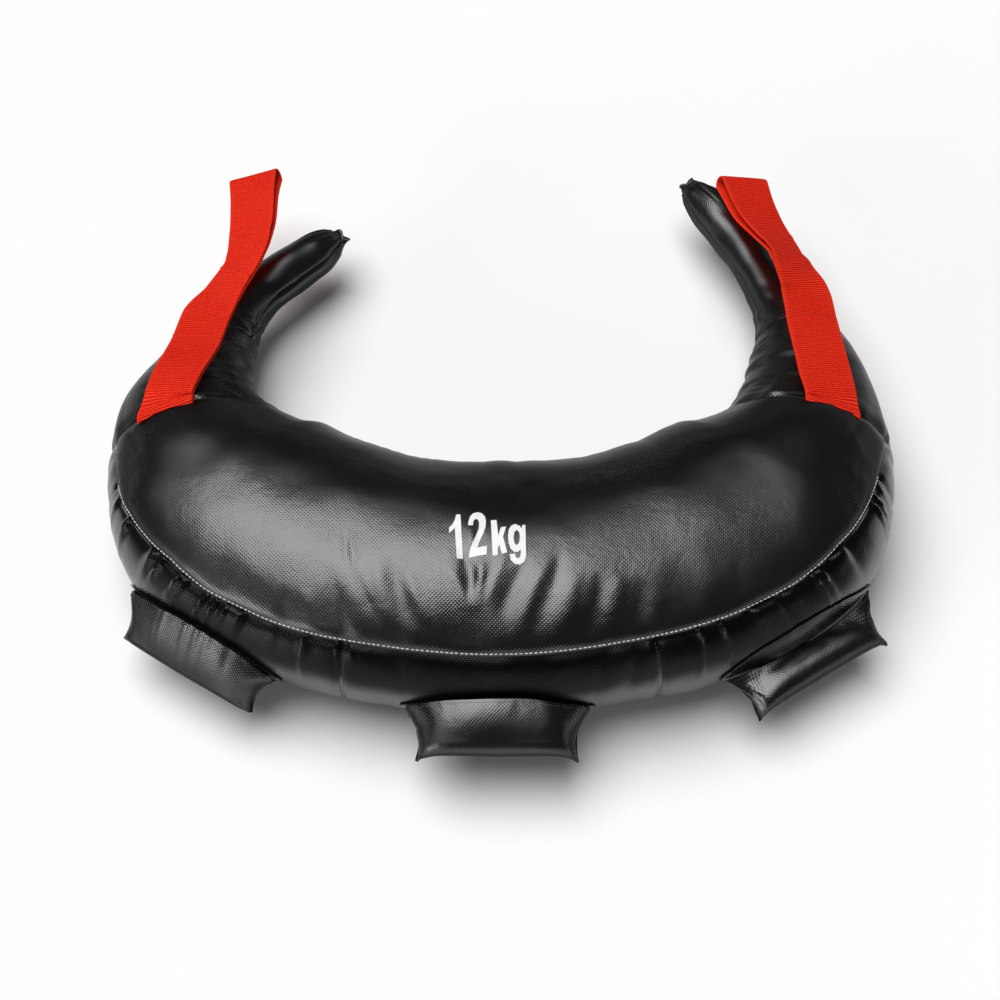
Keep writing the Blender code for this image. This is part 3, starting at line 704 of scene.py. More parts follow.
@dataclass(frozen=True)
class WebbingFinish:
    """Red polyester webbing with crosswise ribs and a fine twill, with painted shade in their hollows."""

    name: str = "red_webbing"
    colour: tuple[float, float, float] = (1.0, 0.055, 0.018)
    # The colour of the painted shade in the rib valleys and the twill's hollows; the random fibre tone
    # also mixes towards it.
    shade: tuple[float, float, float] = (0.46, 0.002, 0.0005)
    twill: float = 0.0011
    ribs: float = 0.0022

    def build(self) -> Material:
        """Make the material. Its UV runs across and along the webbing in metres."""
        graph = Graph(self.name)
        axes, solid = graph.axes(graph.place("UV")), graph.place("Object")
        slant = graph.math("ADD", axes[0], graph.math("MULTIPLY", axes[1], 0.9))
        back = graph.math("SUBTRACT", axes[0], graph.math("MULTIPLY", axes[1], 0.5))
        weave = graph.math("MULTIPLY", graph.wave(slant, self.twill), graph.wave(back, self.twill / 0.8))
        weave = graph.ramp(weave, 0, 1, -1, 1)
        fibre = graph.noise(900, 3, solid)
        # Painted shade: the share of the shade colour rises in the rib valleys and the twill's hollows,
        # and the fibre noise adds a random tone on top.
        valley = graph.math("ADD", graph.ramp(graph.wave(axes[1], self.ribs), 0.75, 0.05, -1, 0.7),
                            graph.ramp(weave, 0.3, -0.15))
        share = graph.math("ADD", valley, graph.ramp(fibre, -0.25, 0.45, 0.25, 0.75))
        graph.shade("Base Color", graph.blend(share, self.colour, self.shade))
        graph.shade("Normal", graph.bump(weave, 0.00016, 0.8, graph.bump(fibre, 0.00015, 0.5)))
        graph.shade("Roughness", 0.8)
        graph.shade("Specular IOR Level", 0.1)
        return graph.material


@dataclass(frozen=True)
class FibreFinish:
    """A plain fibrous or grainy finish: thread, print, wadding, canvas, grit and foam."""

    name: str
    colour: tuple[float, float, float]
    shade: tuple[float, float, float]
    roughness: float
    grain: float
    depth: float

    def build(self) -> Material:
        """Make the material."""
        graph = Graph(self.name)
        solid = graph.place("Object")
        fine, coarse = graph.noise(self.grain, 4, solid), graph.noise(self.grain / 9, 3, solid)
        share = graph.ramp(graph.math("ADD", fine, coarse), 0, 1, 0.75, 1.35)
        graph.shade("Base Color", graph.blend(share, self.colour, self.shade))
        graph.shade("Normal", graph.bump(fine, self.depth, 0.6))
        rough = graph.ramp(coarse, self.roughness - 0.06, self.roughness + 0.06)
        graph.shade("Roughness", rough)
        return graph.material


class Finishes:
    """All the bag's finishes."""

    def __init__(self) -> None:
        """Build the materials."""
        self.leather = LeatherFinish().build()
        self.side_leather = LeatherFinish("side_leather", gloss=(0.14, 0.95),
                                          turned=(0.34, 0.60)).build()
        self.webbing = WebbingFinish().build()
        self.thread, self.dark_thread, self.red_thread, self.ink, self.wadding, self.canvas, \
            self.grit, self.foam = (FibreFinish(*values).build() for values in (
                ("white_thread", (0.78, 0.78, 0.76), (0.52, 0.52, 0.50), 0.6, 1800, 0.0001),
                ("black_thread", (0.02, 0.02, 0.02), (0.05, 0.05, 0.05), 0.6, 1800, 0.0001),
                ("red_thread", (0.62, 0.02, 0.008), (0.42, 0.01, 0.005), 0.6, 1800, 0.0001),
                ("white_print", (0.90, 0.90, 0.89), (0.80, 0.80, 0.79), 0.45, 700, 0.00004),
                ("white_wadding", (0.80, 0.80, 0.78), (0.62, 0.62, 0.60), 0.95, 420, 0.0012),
                ("grey_canvas", (0.36, 0.36, 0.34), (0.24, 0.24, 0.23), 0.9, 1300, 0.0004),
                ("ballast_grit", (0.32, 0.26, 0.19), (0.12, 0.10, 0.08), 0.85, 500, 0.0016),
                ("dark_foam", (0.08, 0.08, 0.085), (0.04, 0.04, 0.042), 0.92, 800, 0.0006)))


# Meshes


def settle(piece: Item, body: str | None = None,
           node: str | None = None) -> None:
    if body is not None:
        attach(piece, body)
    if node is not None:
        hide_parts(node)


def spread(low: float, high: float, count: int) -> Array:
    """Return count + 1 even values from low to high."""
    return np.linspace(low, high, count + 1)


def around(count: int) -> Array:
    """Return even turns round a section, without the last that meets the first."""
    return spread(0, FULL_TURN, count)[:-1]


def seam_spread(low: float, high: float, count: int, length: float) -> Array:
    """Return values from low to high that crowd at both ends, where the seams lie.

    Args:
        low: first value.
        high: last value.
        count: number of even steps between the crowded ends.
        length: the run from low to high in metres.

    Returns:
        The values.
    """
    near = np.array((0.0, 0.0008, 0.0017, 0.0028, 0.0042, 0.0060)) / length
    inner = np.linspace(0.0080 / length, 1 - 0.0080 / length, count)
    return low + (high - low) * np.concatenate([near, inner, 1 - near[::-1]])


def make_object(name: str, points: Array, faces: list, material: Material | None = None,
                uv: Array | None = None, smooth: bool = True) -> Item:
    """Make an object and link it to the scene.

    Args:
        name: the piece's name.
        points: vertex places.
        faces: vertex numbers of each face.
        material: the finish, or None for a mesh that only helps.
        uv: a place on the flat material for each corner of each face, or None.
        smooth: whether its faces are shaded smooth, up to a bend of 50 degrees.

    Returns:
        The object.
    """
    mesh = bpy.data.meshes.new(name)
    mesh.from_pydata(points.reshape(-1, 3).tolist(), [], faces)
    if uv is not None:
        layer = mesh.uv_layers.new(name="flat")
        layer.data.foreach_set("uv", uv.astype(np.float32).ravel())
    if smooth:
        mesh.shade_smooth()
        mesh.set_sharp_from_angle(angle=math.radians(50))
    if material is not None:
        mesh.materials.append(material)
    mesh.update()
    item = bpy.data.objects.new(name, mesh)
    bpy.context.scene.collection.objects.link(item)
    return item


def lattice_faces(rows: int, cols: int, wrap: bool) -> tuple[Array, Array]:
    """Return the quads of a grid, and for each corner its place in a grid one column wider."""
    i, j = np.meshgrid(np.arange(rows - 1), np.arange(cols if wrap else cols - 1), indexing="ij")
    i, j = i.ravel(), j.ravel()
    corners = ((i, j), (i, j + 1), (i + 1, j + 1), (i + 1, j))
    faces = np.stack([a * cols + b % cols for a, b in corners], -1)
    wide = np.stack([a * (cols + 1) + b for a, b in corners], -1)
    return faces, wide


def faces_inwards(points: Array, face: Array, inside: Array) -> bool:
    """Return whether a face's normal points to a place inside."""
    first, second, last = points[face[0]], points[face[1]], points[face[3]]
    return np.cross(second - first, last - first) @ (first - inside) < 0


def shell(name: str, outer: Array, inner: Array, uv: Array, wrap: bool,
          material: Material) -> Item:
    """Make a closed wall between two grids of points.

    Args:
        name: the piece's name.
        outer: outer grid, rows by columns by 3.
        inner: inner grid of the same size.
        uv: places on the flat material, with one more column where the grid wraps.
        wrap: whether the last column joins the first.
        material: the finish.

    Returns:
        The object.
    """
    rows, cols = outer.shape[:2]
    count = rows * cols
    flat = uv if wrap else np.concatenate([uv, uv[:, -1:]], 1)
    flat = flat.reshape(-1, 2)
    skin, wide = lattice_faces(rows, cols, wrap)
    faces, corners = [skin, skin[:, ::-1] + count], [wide, wide[:, ::-1]]
    j = np.arange(cols if wrap else cols - 1)
    k = (j + 1) % cols
    last = (rows - 1) * cols
    faces.append(np.stack([k, j, j + count, k + count], -1))
    corners.append(np.stack([j + 1, j, j, j + 1], -1))
    faces.append(np.stack([j + last, k + last, k + last + count, j + last + count], -1))
    end = (rows - 1) * (cols + 1)
    corners.append(np.stack([j + end, j + 1 + end, j + 1 + end, j + end], -1))
    if not wrap:
        i = np.arange(rows - 1)
        for column, turn in ((0, 1), (cols - 1, -1)):
            a, b = i * cols + column, (i + 1) * cols + column
            wa, wb = i * (cols + 1) + column, (i + 1) * (cols + 1) + column
            rim = np.stack([a, b, b + count, a + count], -1)
            faces.append(rim[:, ::turn])
            corners.append(np.stack([wa, wb, wb, wa], -1)[:, ::turn])
    faces, corners = np.vstack(faces), np.vstack(corners)
    middle = skin[len(skin) // 2]
    points, lining = outer.reshape(-1, 3), inner.reshape(-1, 3)
    if faces_inwards(points, middle, lining[middle[0]]):
        faces, corners = faces[:, ::-1], corners[:, ::-1]
    return make_object(name, np.vstack([points, lining]), faces.tolist(), material, flat[corners])


def loft(name: str, rings: Array, material: Material,
         uv: Array | None = None) -> Item:
    """Make a closed solid through rings of points, closed at both ends by fans.

    Args:
        name: the piece's name.
        rings: rings by points by 3.
        material: the finish.
        uv: places on the flat material with one more column, or None.

    Returns:
        The object.
    """
    rows, cols = rings.shape[:2]
    quads, wide = lattice_faces(rows, cols, True)
    caps = np.stack([rings[0].mean(0), rings[-1].mean(0)])
    points = np.vstack([rings.reshape(-1, 3), caps])
    j = np.arange(cols)
    k = (j + 1) % cols
    first, last, end = rows * cols, rows * cols + 1, (rows - 1) * cols
    fans = np.vstack([np.stack([np.full(cols, first), k, j, np.full(cols, first)], -1),
                      np.stack([np.full(cols, last), j + end, k + end, np.full(cols, last)], -1)])
    corners = np.vstack([wide, np.stack([j, j + 1, j, j], -1),
                         np.stack([j, j, j + 1, j], -1) + (rows - 1) * (cols + 1)])
    faces = np.vstack([quads, fans])
    if faces_inwards(points, quads[len(quads) // 2], rings[rows // 2].mean(0)):
        faces, corners = faces[:, ::-1], corners[:, ::-1]
    mesh_faces, mesh_uv = [], []
    for face, corner in zip(faces.tolist(), corners.tolist()):
        kept = [n for n in range(4) if face[n] not in face[:n]]
        mesh_faces.append([face[n] for n in kept])
        mesh_uv.extend(corner[n] for n in kept)
    places = None if uv is None else uv.reshape(-1, 2)[mesh_uv]
    return make_object(name, points, mesh_faces, material, places)


# Stitching


class StitchKind(Enum):
    """The seams' threads: length, width and height of one stitch, and the pitch along the seam."""

    TOP = (0.0032, 0.00105, 0.00070, 0.0038)
    FINE = (0.0022, 0.00060, 0.00040, 0.0031)


class Seamster:
    """Sews stitches along lines of points with one Geometry Nodes tree."""

    size_names = ("Stitch Length", "Stitch Width", "Stitch Height")

    def __init__(self) -> None:
        """Build the tree: a rounded bead on each point, turned along the seam."""
        self.noise = np.random.default_rng(7)
        self.tree = bpy.data.node_groups.new("stitch_run", "GeometryNodeTree")
        face = self.tree.interface
        face.new_socket("Points", in_out="INPUT", socket_type="NodeSocketGeometry")
        self.sockets = {}
        for name in (*self.size_names, "Thread"):
            kind = "NodeSocketMaterial" if name == "Thread" else "NodeSocketFloat"
            self.sockets[name] = face.new_socket(name, in_out="INPUT", socket_type=kind).identifier
        face.new_socket("Geometry", in_out="OUTPUT", socket_type="NodeSocketGeometry")
        kit = NodeKit(self.tree)
        given = kit.add("NodeGroupInput").outputs
        bead = kit.add("GeometryNodeMeshUVSphere", Segments=6, Rings=5, Radius=0.5)
        length, width, height = (given[name] for name in self.size_names)
        size = kit.add("ShaderNodeCombineXYZ", X=length, Y=width, Z=height)
        bead = kit.add("GeometryNodeTransform", Geometry=bead.outputs["Mesh"], Scale=size.outputs[0])
        run, up = (kit.add("GeometryNodeInputNamedAttribute", data_type="FLOAT_VECTOR",
                           Name=name).outputs["Attribute"] for name in ("seam_run", "seam_up"))
        along = kit.add("FunctionNodeAlignRotationToVector", axis="X", Vector=run)
        turned = kit.add("FunctionNodeAlignRotationToVector", axis="Z", pivot_axis="X", Vector=up,
                         Rotation=along.outputs["Rotation"])
        copies = kit.add("GeometryNodeInstanceOnPoints", Points=given["Points"],
                         Instance=bead.outputs["Geometry"], Rotation=turned.outputs["Rotation"])
        real = kit.add("GeometryNodeRealizeInstances", Geometry=copies.outputs["Instances"])
        dressed = kit.add("GeometryNodeSetMaterial", Geometry=real.outputs[0], Material=given["Thread"])
        smooth = kit.add("GeometryNodeSetShadeSmooth", Geometry=dressed.outputs["Geometry"])
        kit.add("NodeGroupOutput", Geometry=smooth.outputs["Geometry"])

    def sew(self, name: str, lines: Iterable[tuple[Array, Array]], kind: StitchKind,
            thread: Material) -> Item:
        """Sew one piece of stitching along lines.

        Args:
            name: the piece's name.
            lines: pairs of points along a seam and the skin's direction at each.
            kind: the size of the stitches.
            thread: the thread's finish.

        Returns:
            The plain mesh of all stitches.
        """
        *sizes, pitch = kind.value
        points, runs, ups = [], [], []
        for line, up in lines:
            steps = lengths(line)
            marks = np.arange(pitch / 2, steps[-1], pitch)
            marks = marks + self.noise.uniform(-0.08, 0.08, len(marks)) * pitch
            place, ahead, rise = (
                np.stack([np.interp(at, steps, values[:, n]) for n in range(3)], -1)
                for at, values in ((marks, line), (marks + 0.0008, line), (marks, up)))
            rise, run = unit(rise), unit(ahead - place + 1e-7)
            sway = np.cross(rise, run) * self.noise.uniform(-0.10, 0.10, (len(marks), 1))
            points.append(place + rise * sizes[-1] * 0.18)
            runs.append(unit(run + sway))
            ups.append(rise)
        item = make_object(name, np.vstack(points), [], smooth=False)
        for label, values in (("seam_run", runs), ("seam_up", ups)):
            layer = item.data.attributes.new(label, "FLOAT_VECTOR", "POINT")
            layer.data.foreach_set("vector", np.vstack(values).astype(np.float32).ravel())
        sewing = item.modifiers.new("sewing", "NODES")
        sewing.node_group = self.tree
        for label, value in zip((*self.size_names, "Thread"), (*sizes, thread)):
            sewing[self.sockets[label]] = value
        graph = bpy.context.evaluated_depsgraph_get()
        plain = bpy.data.meshes.new_from_object(item.evaluated_get(graph))
        item.modifiers.clear()
        item.data = plain
        plain.name = name
        return item


# The body


@dataclass
class BodySkin:
    """The leather of the crescent and of the horn roots, with its stitching."""

    relief: SkinRelief
    finishes: Finishes
    sewer: Seamster
    wall: float = 0.0012
    seam_gap: float = 0.0016
    turn_gap: float = 0.08
    blend_reach: float = 0.024
    seam_samples: int = 1500
    top_inset: float = 0.0023
    dark_turn: float = 1.7
    tube_turns: int = 132

    def walls(self, station: Array, turn: Array) -> tuple[Array, Array]:
        """Return the outer and the inner face of the leather."""
        return (self.relief.surface(station, turn), self.relief.surface(station, turn, self.wall))

    def panel(self, label: str, node: str, stations: Array, low: Array | float,
              high: Array | float, shares: Array, on_front: bool = True) -> Item:
        """Make one leather piece of the body.

        Args:
            label: the end of the piece's name.
            node: the CAD node that it stands for.
            stations: the piece's lines across the crescent.
            low: turn of its first edge, one for all stations or one for each.
            high: turn of its last edge.
            shares: where the other lines lie between both edges.
            on_front: whether its emboss follows the flat crescent, or the strip.

        Returns:
            The object, riding on the bag.
        """
        form = self.relief.form
        low, high = np.broadcast_to(low, stations.shape), np.broadcast_to(high, stations.shape)
        turn = low[:, None] + (high - low)[:, None] * shares[None, :]
        station = np.broadcast_to(stations[:, None], turn.shape)
        flat = form.flat(station, turn) if on_front else form.strip(station, turn)
        leather = self.finishes.leather if on_front else self.finishes.side_leather
        piece = shell("skin_" + label, *self.walls(station, turn), flat, False, leather)
        settle(piece, "bag", node)
        return piece

    def panels(self) -> None:
        """Make the front and back panels and the strips of the outer edge."""
        relief, gap, turn_gap = self.relief, self.seam_gap, self.turn_gap
        end, cross, last = relief.horn_seam - gap, relief.gusset_cross, relief.gusset_end
        front = seam_spread(-end, end, 330, 0.72)
        piece = self.panel("front", "front_panel", front, relief.outer_seam(front) + turn_gap,
                           relief.inner_seam - turn_gap, seam_spread(0, 1, 88, 0.22))
        self.panel("back", "back_panel", seam_spread(-end, end, 210, 0.72),
                   relief.inner_seam + turn_gap, FULL_TURN + relief.bottom_seam - turn_gap,
                   seam_spread(0, 1, 66, 0.27))
        strips = (("middle", -cross, cross, 100, 0.25), ("right", cross, last, 112, 0.28),
                  ("left", -last, -cross, 112, 0.28), ("end_right", last, end, 26, 0.065),
                  ("end_left", -end, -last, 26, 0.065))
        for label, start, stop, count, length in strips:
            line = seam_spread(start + gap, stop - gap, count, length)
            self.panel("gusset_" + label, "gusset_" + label, line, relief.bottom_seam + turn_gap,
                       relief.outer_seam(line) - turn_gap, seam_spread(0, 1, 38, 0.10), False)

    def bend(self, piece: Item, side: Side) -> None:
        """Bake a piece's transform into its mesh."""
        form = self.relief.form
        seam = np.array(self.relief.cross_seam * side.value)
        _, along = form.spine(seam)
        middle = form.centre(seam)
        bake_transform(piece)

    def tube(self, name: str, node: str, side: Side, stations: Array) -> Item:
        """Make a leather tube of a horn root or a horn, sewn along its inner side.

        Args:
            name: the piece's name.
            node: the CAD node that it stands for.
            side: which horn.
            stations: its lines, counted outwards.

        Returns:
            The object.
        """
        form, stations = self.relief.form, stations * side.value
        start = float(self.relief.sleeve_seam(stations[len(stations) // 2]))
        station, turn = np.meshgrid(stations, start + spread(0, FULL_TURN, self.tube_turns),
                                    indexing="ij")
        radius = float(form.radius(station, turn).mean())
        flat = np.stack([form.run(station, TOP_LINE), np.radians(turn) * radius], -1)
        piece = shell(name, *self.walls(station[:, :-1], turn[:, :-1]), flat, True,
                      self.finishes.leather)
        self.bend(piece, side)
        settle(piece, node=node)
        return piece

    def seam_line(self, stations: Array, turns: Array) -> tuple[Array, Array]:
        """Return the points and skin directions of a line of stitches."""
        return self.relief.surface(stations, turns), self.relief.form.normal(stations, turns)

    def stitching(self) -> None:
        """Sew the outer, inner, cross and horn seams."""
        relief, count = self.relief, self.seam_samples
        reach = relief.gusset_end - 0.02
        stations = np.linspace(-reach, reach, count)
        turns = relief.outer_seam(stations)
        turns = turns + np.degrees(self.top_inset / relief.form.radius(stations, turns))
        top = self.sewer.sew("stitches_outer_seam", [self.seam_line(stations, turns)],
                             StitchKind.TOP, self.finishes.thread)
        dark = []
        for side in Side:
            ends = np.linspace(relief.gusset_end, relief.horn_seam - 0.02, 160) * side.value
            dark.append(self.seam_line(ends, relief.outer_seam(ends) + 1.3))
            for place, shift in ((relief.gusset_cross, 0.028), (relief.gusset_end, 0.03)):
                line = np.full(200, (place - shift) * side.value)
                dark.append(self.seam_line(line, np.linspace(-35, relief.outer_seam(line[0]) - 1.5, 200)))
            ring = np.full(600, (relief.horn_seam - 0.036) * side.value)
            dark.append(self.seam_line(ring, np.linspace(28, 158, 600)))
        reach = relief.horn_seam - 0.03
        stations = np.linspace(-reach, reach, count)
        for turn in (relief.inner_seam - self.dark_turn, relief.bottom_seam + self.dark_turn):
            dark.append(self.seam_line(stations, np.full(count, turn)))
        black = self.sewer.sew("stitches_dark_seams", dark, StitchKind.FINE,
                               self.finishes.dark_thread)
        for piece in (top, black):
            settle(piece, "bag")

    def build(self) -> None:
        """Make the body's skin and the leather of both horn roots."""
        self.panels()
        relief = self.relief
        root = seam_spread(relief.horn_seam + self.seam_gap, relief.cross_seam - self.seam_gap, 46, 0.11)
        for side in Side:
            self.tube("skin_root_" + side.label, "horn_root_" + side.label, side, root)
        self.stitching()
        LOG.info("body skin: 9 leather pieces and 2 pieces of stitching")


@dataclass
class Filling:
    """Wadding, inner bag and ballast inside the crescent."""

    form: CrescentForm
    finishes: Finishes
    skin_clearance: float = 0.0085
    wadding_depth: float = 0.0276
    neck_radius: float = 0.009
    liner_wall: float = 0.0008
    gap: float = 0.0005
    taper: tuple[float, float] = (3.0, 4.1)

    def cavity(self, station: Array) -> Array:
        """Return the depth of the wadding's inner face, which closes to a neck at both ends."""
        values, _ = self.form.spine(station)
        share = ease((np.abs(station) - self.taper[0]) / (self.taper[1] - self.taper[0]))
        narrow = np.minimum(values[..., 2], values[..., 3]) - self.neck_radius
        return self.wadding_depth + share * (narrow - self.wadding_depth)

    def layer(self, name: str, node: str, reach: float, turns: Array, outer: float,
              inner: float, finish: Material, slot: str, count: int) -> None:
        """Make one curved layer between two depths.

        Args:
            name: the piece's name.
            node: the CAD node that it stands for.
            reach: its last station on both sides.
            turns: its lines round the section.
            outer: depth of its outer face, under the skin for wadding, else past the cavity's.
            inner: a depth past the cavity's for its inner face.
            finish: its material.
            slot: not used.
            count: number of steps along the crescent.
        """
        station, turn = np.meshgrid(spread(-reach, reach, count), turns, indexing="ij")
        cavity = self.cavity(station)
        start = 0 * cavity if finish is self.finishes.wadding else cavity
        piece = shell(name, self.form.skin(station, turn, start + outer),
                      self.form.skin(station, turn, cavity + inner),
                      self.form.flat(station, turn), False, finish)
        settle(piece, "bag", node)

    def build(self) -> None:
        """Make the layers of the filling."""
        done, end = self.finishes, self.taper[1] - 0.02
        halves = (("upper", "front", spread(0.3, 159.7, 44)), ("lower", "back", spread(160.3, 359.7, 54)))
        for half, face, turns in halves:
            self.layer("fill_wadding_" + half, "wadding_" + half, 4.42, turns, self.skin_clearance,
                       0.0, done.wadding, "white_wadding", 120)
            self.layer("fill_liner_" + face, "liner_" + face, end, turns, self.gap,
                       self.gap + self.liner_wall, done.canvas, "grey_canvas", 96)
        station, turn = np.meshgrid(spread(-end, end, 96), around(84), indexing="ij")
        depth = self.cavity(station) + 2 * self.gap + self.liner_wall
        ballast = loft("fill_ballast", self.form.skin(station, turn, depth), done.grit)
        settle(ballast, "bag", "ballast_fill")
        LOG.info("filling: 5 pieces")


@dataclass
class WeightMark:
    """The printed weight on the front panel: two figures and the unit, in outlines of its own."""

    relief: SkinRelief
    finishes: Finishes
    film: float = 0.0003
    cell: float = 0.0012
    outlines: tuple = (
        ((-34.8, 21.0), (-31.6, 21.0), (-29.4, -17.8), (-34.0, -18.0), (-35.7, 8.4), (-37.8, 6.0),
         (-40.2, 3.9), (-40.2, 8.6), (-37.8, 11.2), (-36.0, 15.4)),
        ((-25.5, 10.2), (-25.3, 14.1), (-23.9, 19.3), (-21.6, 22.3), (-18.2, 23.4), (-14.9, 22.3),
         (-12.6, 19.3), (-11.7, 14.7), (-12.0, 8.9), (-13.7, 3.1), (-16.5, -3.4), (-18.4, -9.2),
         (-10.9, -7.8), (-11.1, -15.0), (-24.7, -17.1), (-23.9, -11.1), (-22.1, -5.9),
         (-19.4, 1.1), (-17.1, 7.7), (-16.9, 12.8), (-17.9, 15.8), (-19.4, 16.7), (-20.8, 15.8),
         (-21.6, 13.5), (-21.7, 10.2)),
        ((-7.9, 15.2), (-3.5, 15.7), (-2.1, 0.5), (0.0, 8.6), (4.0, 9.2), (1.5, 0.2), (4.8, -13.5),
         (0.7, -14.7), (-1.3, -6.6), (-2.4, -9.2), (-2.6, -15.6), (-6.4, -16.3)),
        ((16.6, 10.9), (18.9, 11.3), (19.2, -16.3), (17.8, -20.8), (14.4, -23.1), (10.5, -22.5),
         (7.6, -19.5), (6.6, -15.0), (10.7, -14.4), (11.3, -17.0), (12.9, -18.3), (14.7, -17.0),
         (15.4, -13.7), (15.2, -10.5), (13.3, -12.7), (10.5, -13.1), (7.6, -10.5), (6.0, -5.3),
         (5.5, 0.5), (6.0, 6.4), (8.0, 10.2), (11.0, 11.8), (14.4, 10.2), (16.1, 7.7)))
    bowl: tuple = ((12.1, 6.4), (10.5, 4.4), (9.7, -0.1), (10.2, -5.3), (11.9, -7.5), (13.9, -5.3),
                   (14.7, -0.1), (14.1, 4.4))

    @staticmethod
    def inside(points: Array, outline: Array) -> Array:
        """Return which points lie inside an outline."""
        x, y = points[:, 0, None], points[:, 1, None]
        a, b = outline, np.roll(outline, -1, 0)
        rise = np.where(b[:, 1] == a[:, 1], TINY, b[:, 1] - a[:, 1])
        across = (a[:, 1] > y) != (b[:, 1] > y)
        hits = across & (x < (b[:, 0] - a[:, 0]) * (y - a[:, 1]) / rise + a[:, 0])
        return hits.sum(1) % 2 == 1

    def rounded(self, outline: Sequence[Sequence[float]]) -> Array:
        """Return an outline in metres, cut into short steps."""
        corners = np.array(outline) * 0.001
        points = []
        for start, end in zip(corners, np.roll(corners, -1, 0)):
            count = max(int(np.linalg.norm(end - start) / self.cell), 1)
            points.extend(start + (end - start) * n / count for n in range(count))
        return np.array(points)

    def locate(self, flat: Array) -> tuple[Array, Array]:
        """Return the stations and turns of places on the flat leather."""
        form = self.relief.form
        station, turn = flat[:, 0] / 0.072, 90 + flat[:, 1] / 0.0019
        for _ in range(12):
            here = form.flat(station, turn)
            by_station = (form.flat(station + 0.01, turn) - here) / 0.01
            by_turn = (form.flat(station, turn + 0.5) - here) / 0.5
            miss = flat - here
            scale = by_station[:, 0] * by_turn[:, 1] - by_station[:, 1] * by_turn[:, 0]
            station = station + (miss[:, 0] * by_turn[:, 1] - miss[:, 1] * by_turn[:, 0]) / scale
            turn = turn + (by_station[:, 0] * miss[:, 1] - by_station[:, 1] * miss[:, 0]) / scale
        return station, turn

    def glyph(self, outline: Array, hole: Array | None) -> tuple[Array, Array]:
        """Return the places and triangles of one filled outline.

        Args:
            outline: its corners in order.
            hole: the corners of a hole in it, or None.

        Returns:
            The places, and the numbers of each triangle's corners.
        """
        low, high = outline.min(0), outline.max(0)
        x, y = np.meshgrid(np.arange(low[0], high[0], self.cell), np.arange(low[1], high[1], self.cell))
        inner = np.stack([x.ravel(), y.ravel()], -1)
        edge = outline if hole is None else np.vstack([outline, hole])
        far = np.linalg.norm(inner[:, None] - edge[None], axis=-1).min(1) > self.cell * 0.6
        inner = inner[far & self.inside(inner, outline)]
        points = np.vstack([edge, inner])
        count = len(outline)
        edges = [(n, (n + 1) % count) for n in range(count)]
        if hole is not None:
            edges += [(count + n, count + (n + 1) % len(hole)) for n in range(len(hole))]
        scaled = [Vector(point * 1000) for point in points]
        found, _, faces, *_ = delaunay_2d_cdt(scaled, edges, [], 0, 1e-6)
        found = np.array(found) / 1000
        faces = np.array([face for face in faces if len(face) == 3])
        middle = found[faces].mean(1)
        keep = self.inside(middle, outline)
        if hole is not None:
            keep &= ~self.inside(middle, hole)
        return found, faces[keep]

    def build(self) -> None:
        """Print the mark on the leather as a thin film."""
        points, faces, start = [], [], 0
        for number, outline in enumerate(self.outlines):
            hole = self.rounded(self.bowl) if number == 3 else None
            flat, triangles = self.glyph(self.rounded(outline), hole)
            used, triangles = np.unique(triangles, return_inverse=True)
            triangles = triangles.reshape(-1, 3)
            station, turn = self.locate(flat[used])
            top = self.relief.surface(station, turn, -self.film)
            low = self.relief.surface(station, turn, self.film)
            count = len(used)
            sides = np.vstack([triangles[:, (0, 1)], triangles[:, (1, 2)], triangles[:, (2, 0)]])
            pairs = {tuple(pair) for pair in sides.tolist()}
            rim = np.array([(b, a, a, b) for a, b in pairs if (b, a) not in pairs])
            faces += (triangles + start).tolist() + (triangles[:, ::-1] + start + count).tolist()
            faces += (rim + start + count * np.array((0, 0, 1, 1))).tolist()
            points += [top, low]
            start += 2 * count
        piece = make_object("mark_weight", np.vstack(points), faces, self.finishes.ink, smooth=False)
        highest = max(piece.data.polygons, key=lambda face: face.center.z)
        if highest.normal.z < 0:
            piece.data.flip_normals()
        settle(piece, "bag")
        LOG.info("weight mark: 1 piece")


# The horns


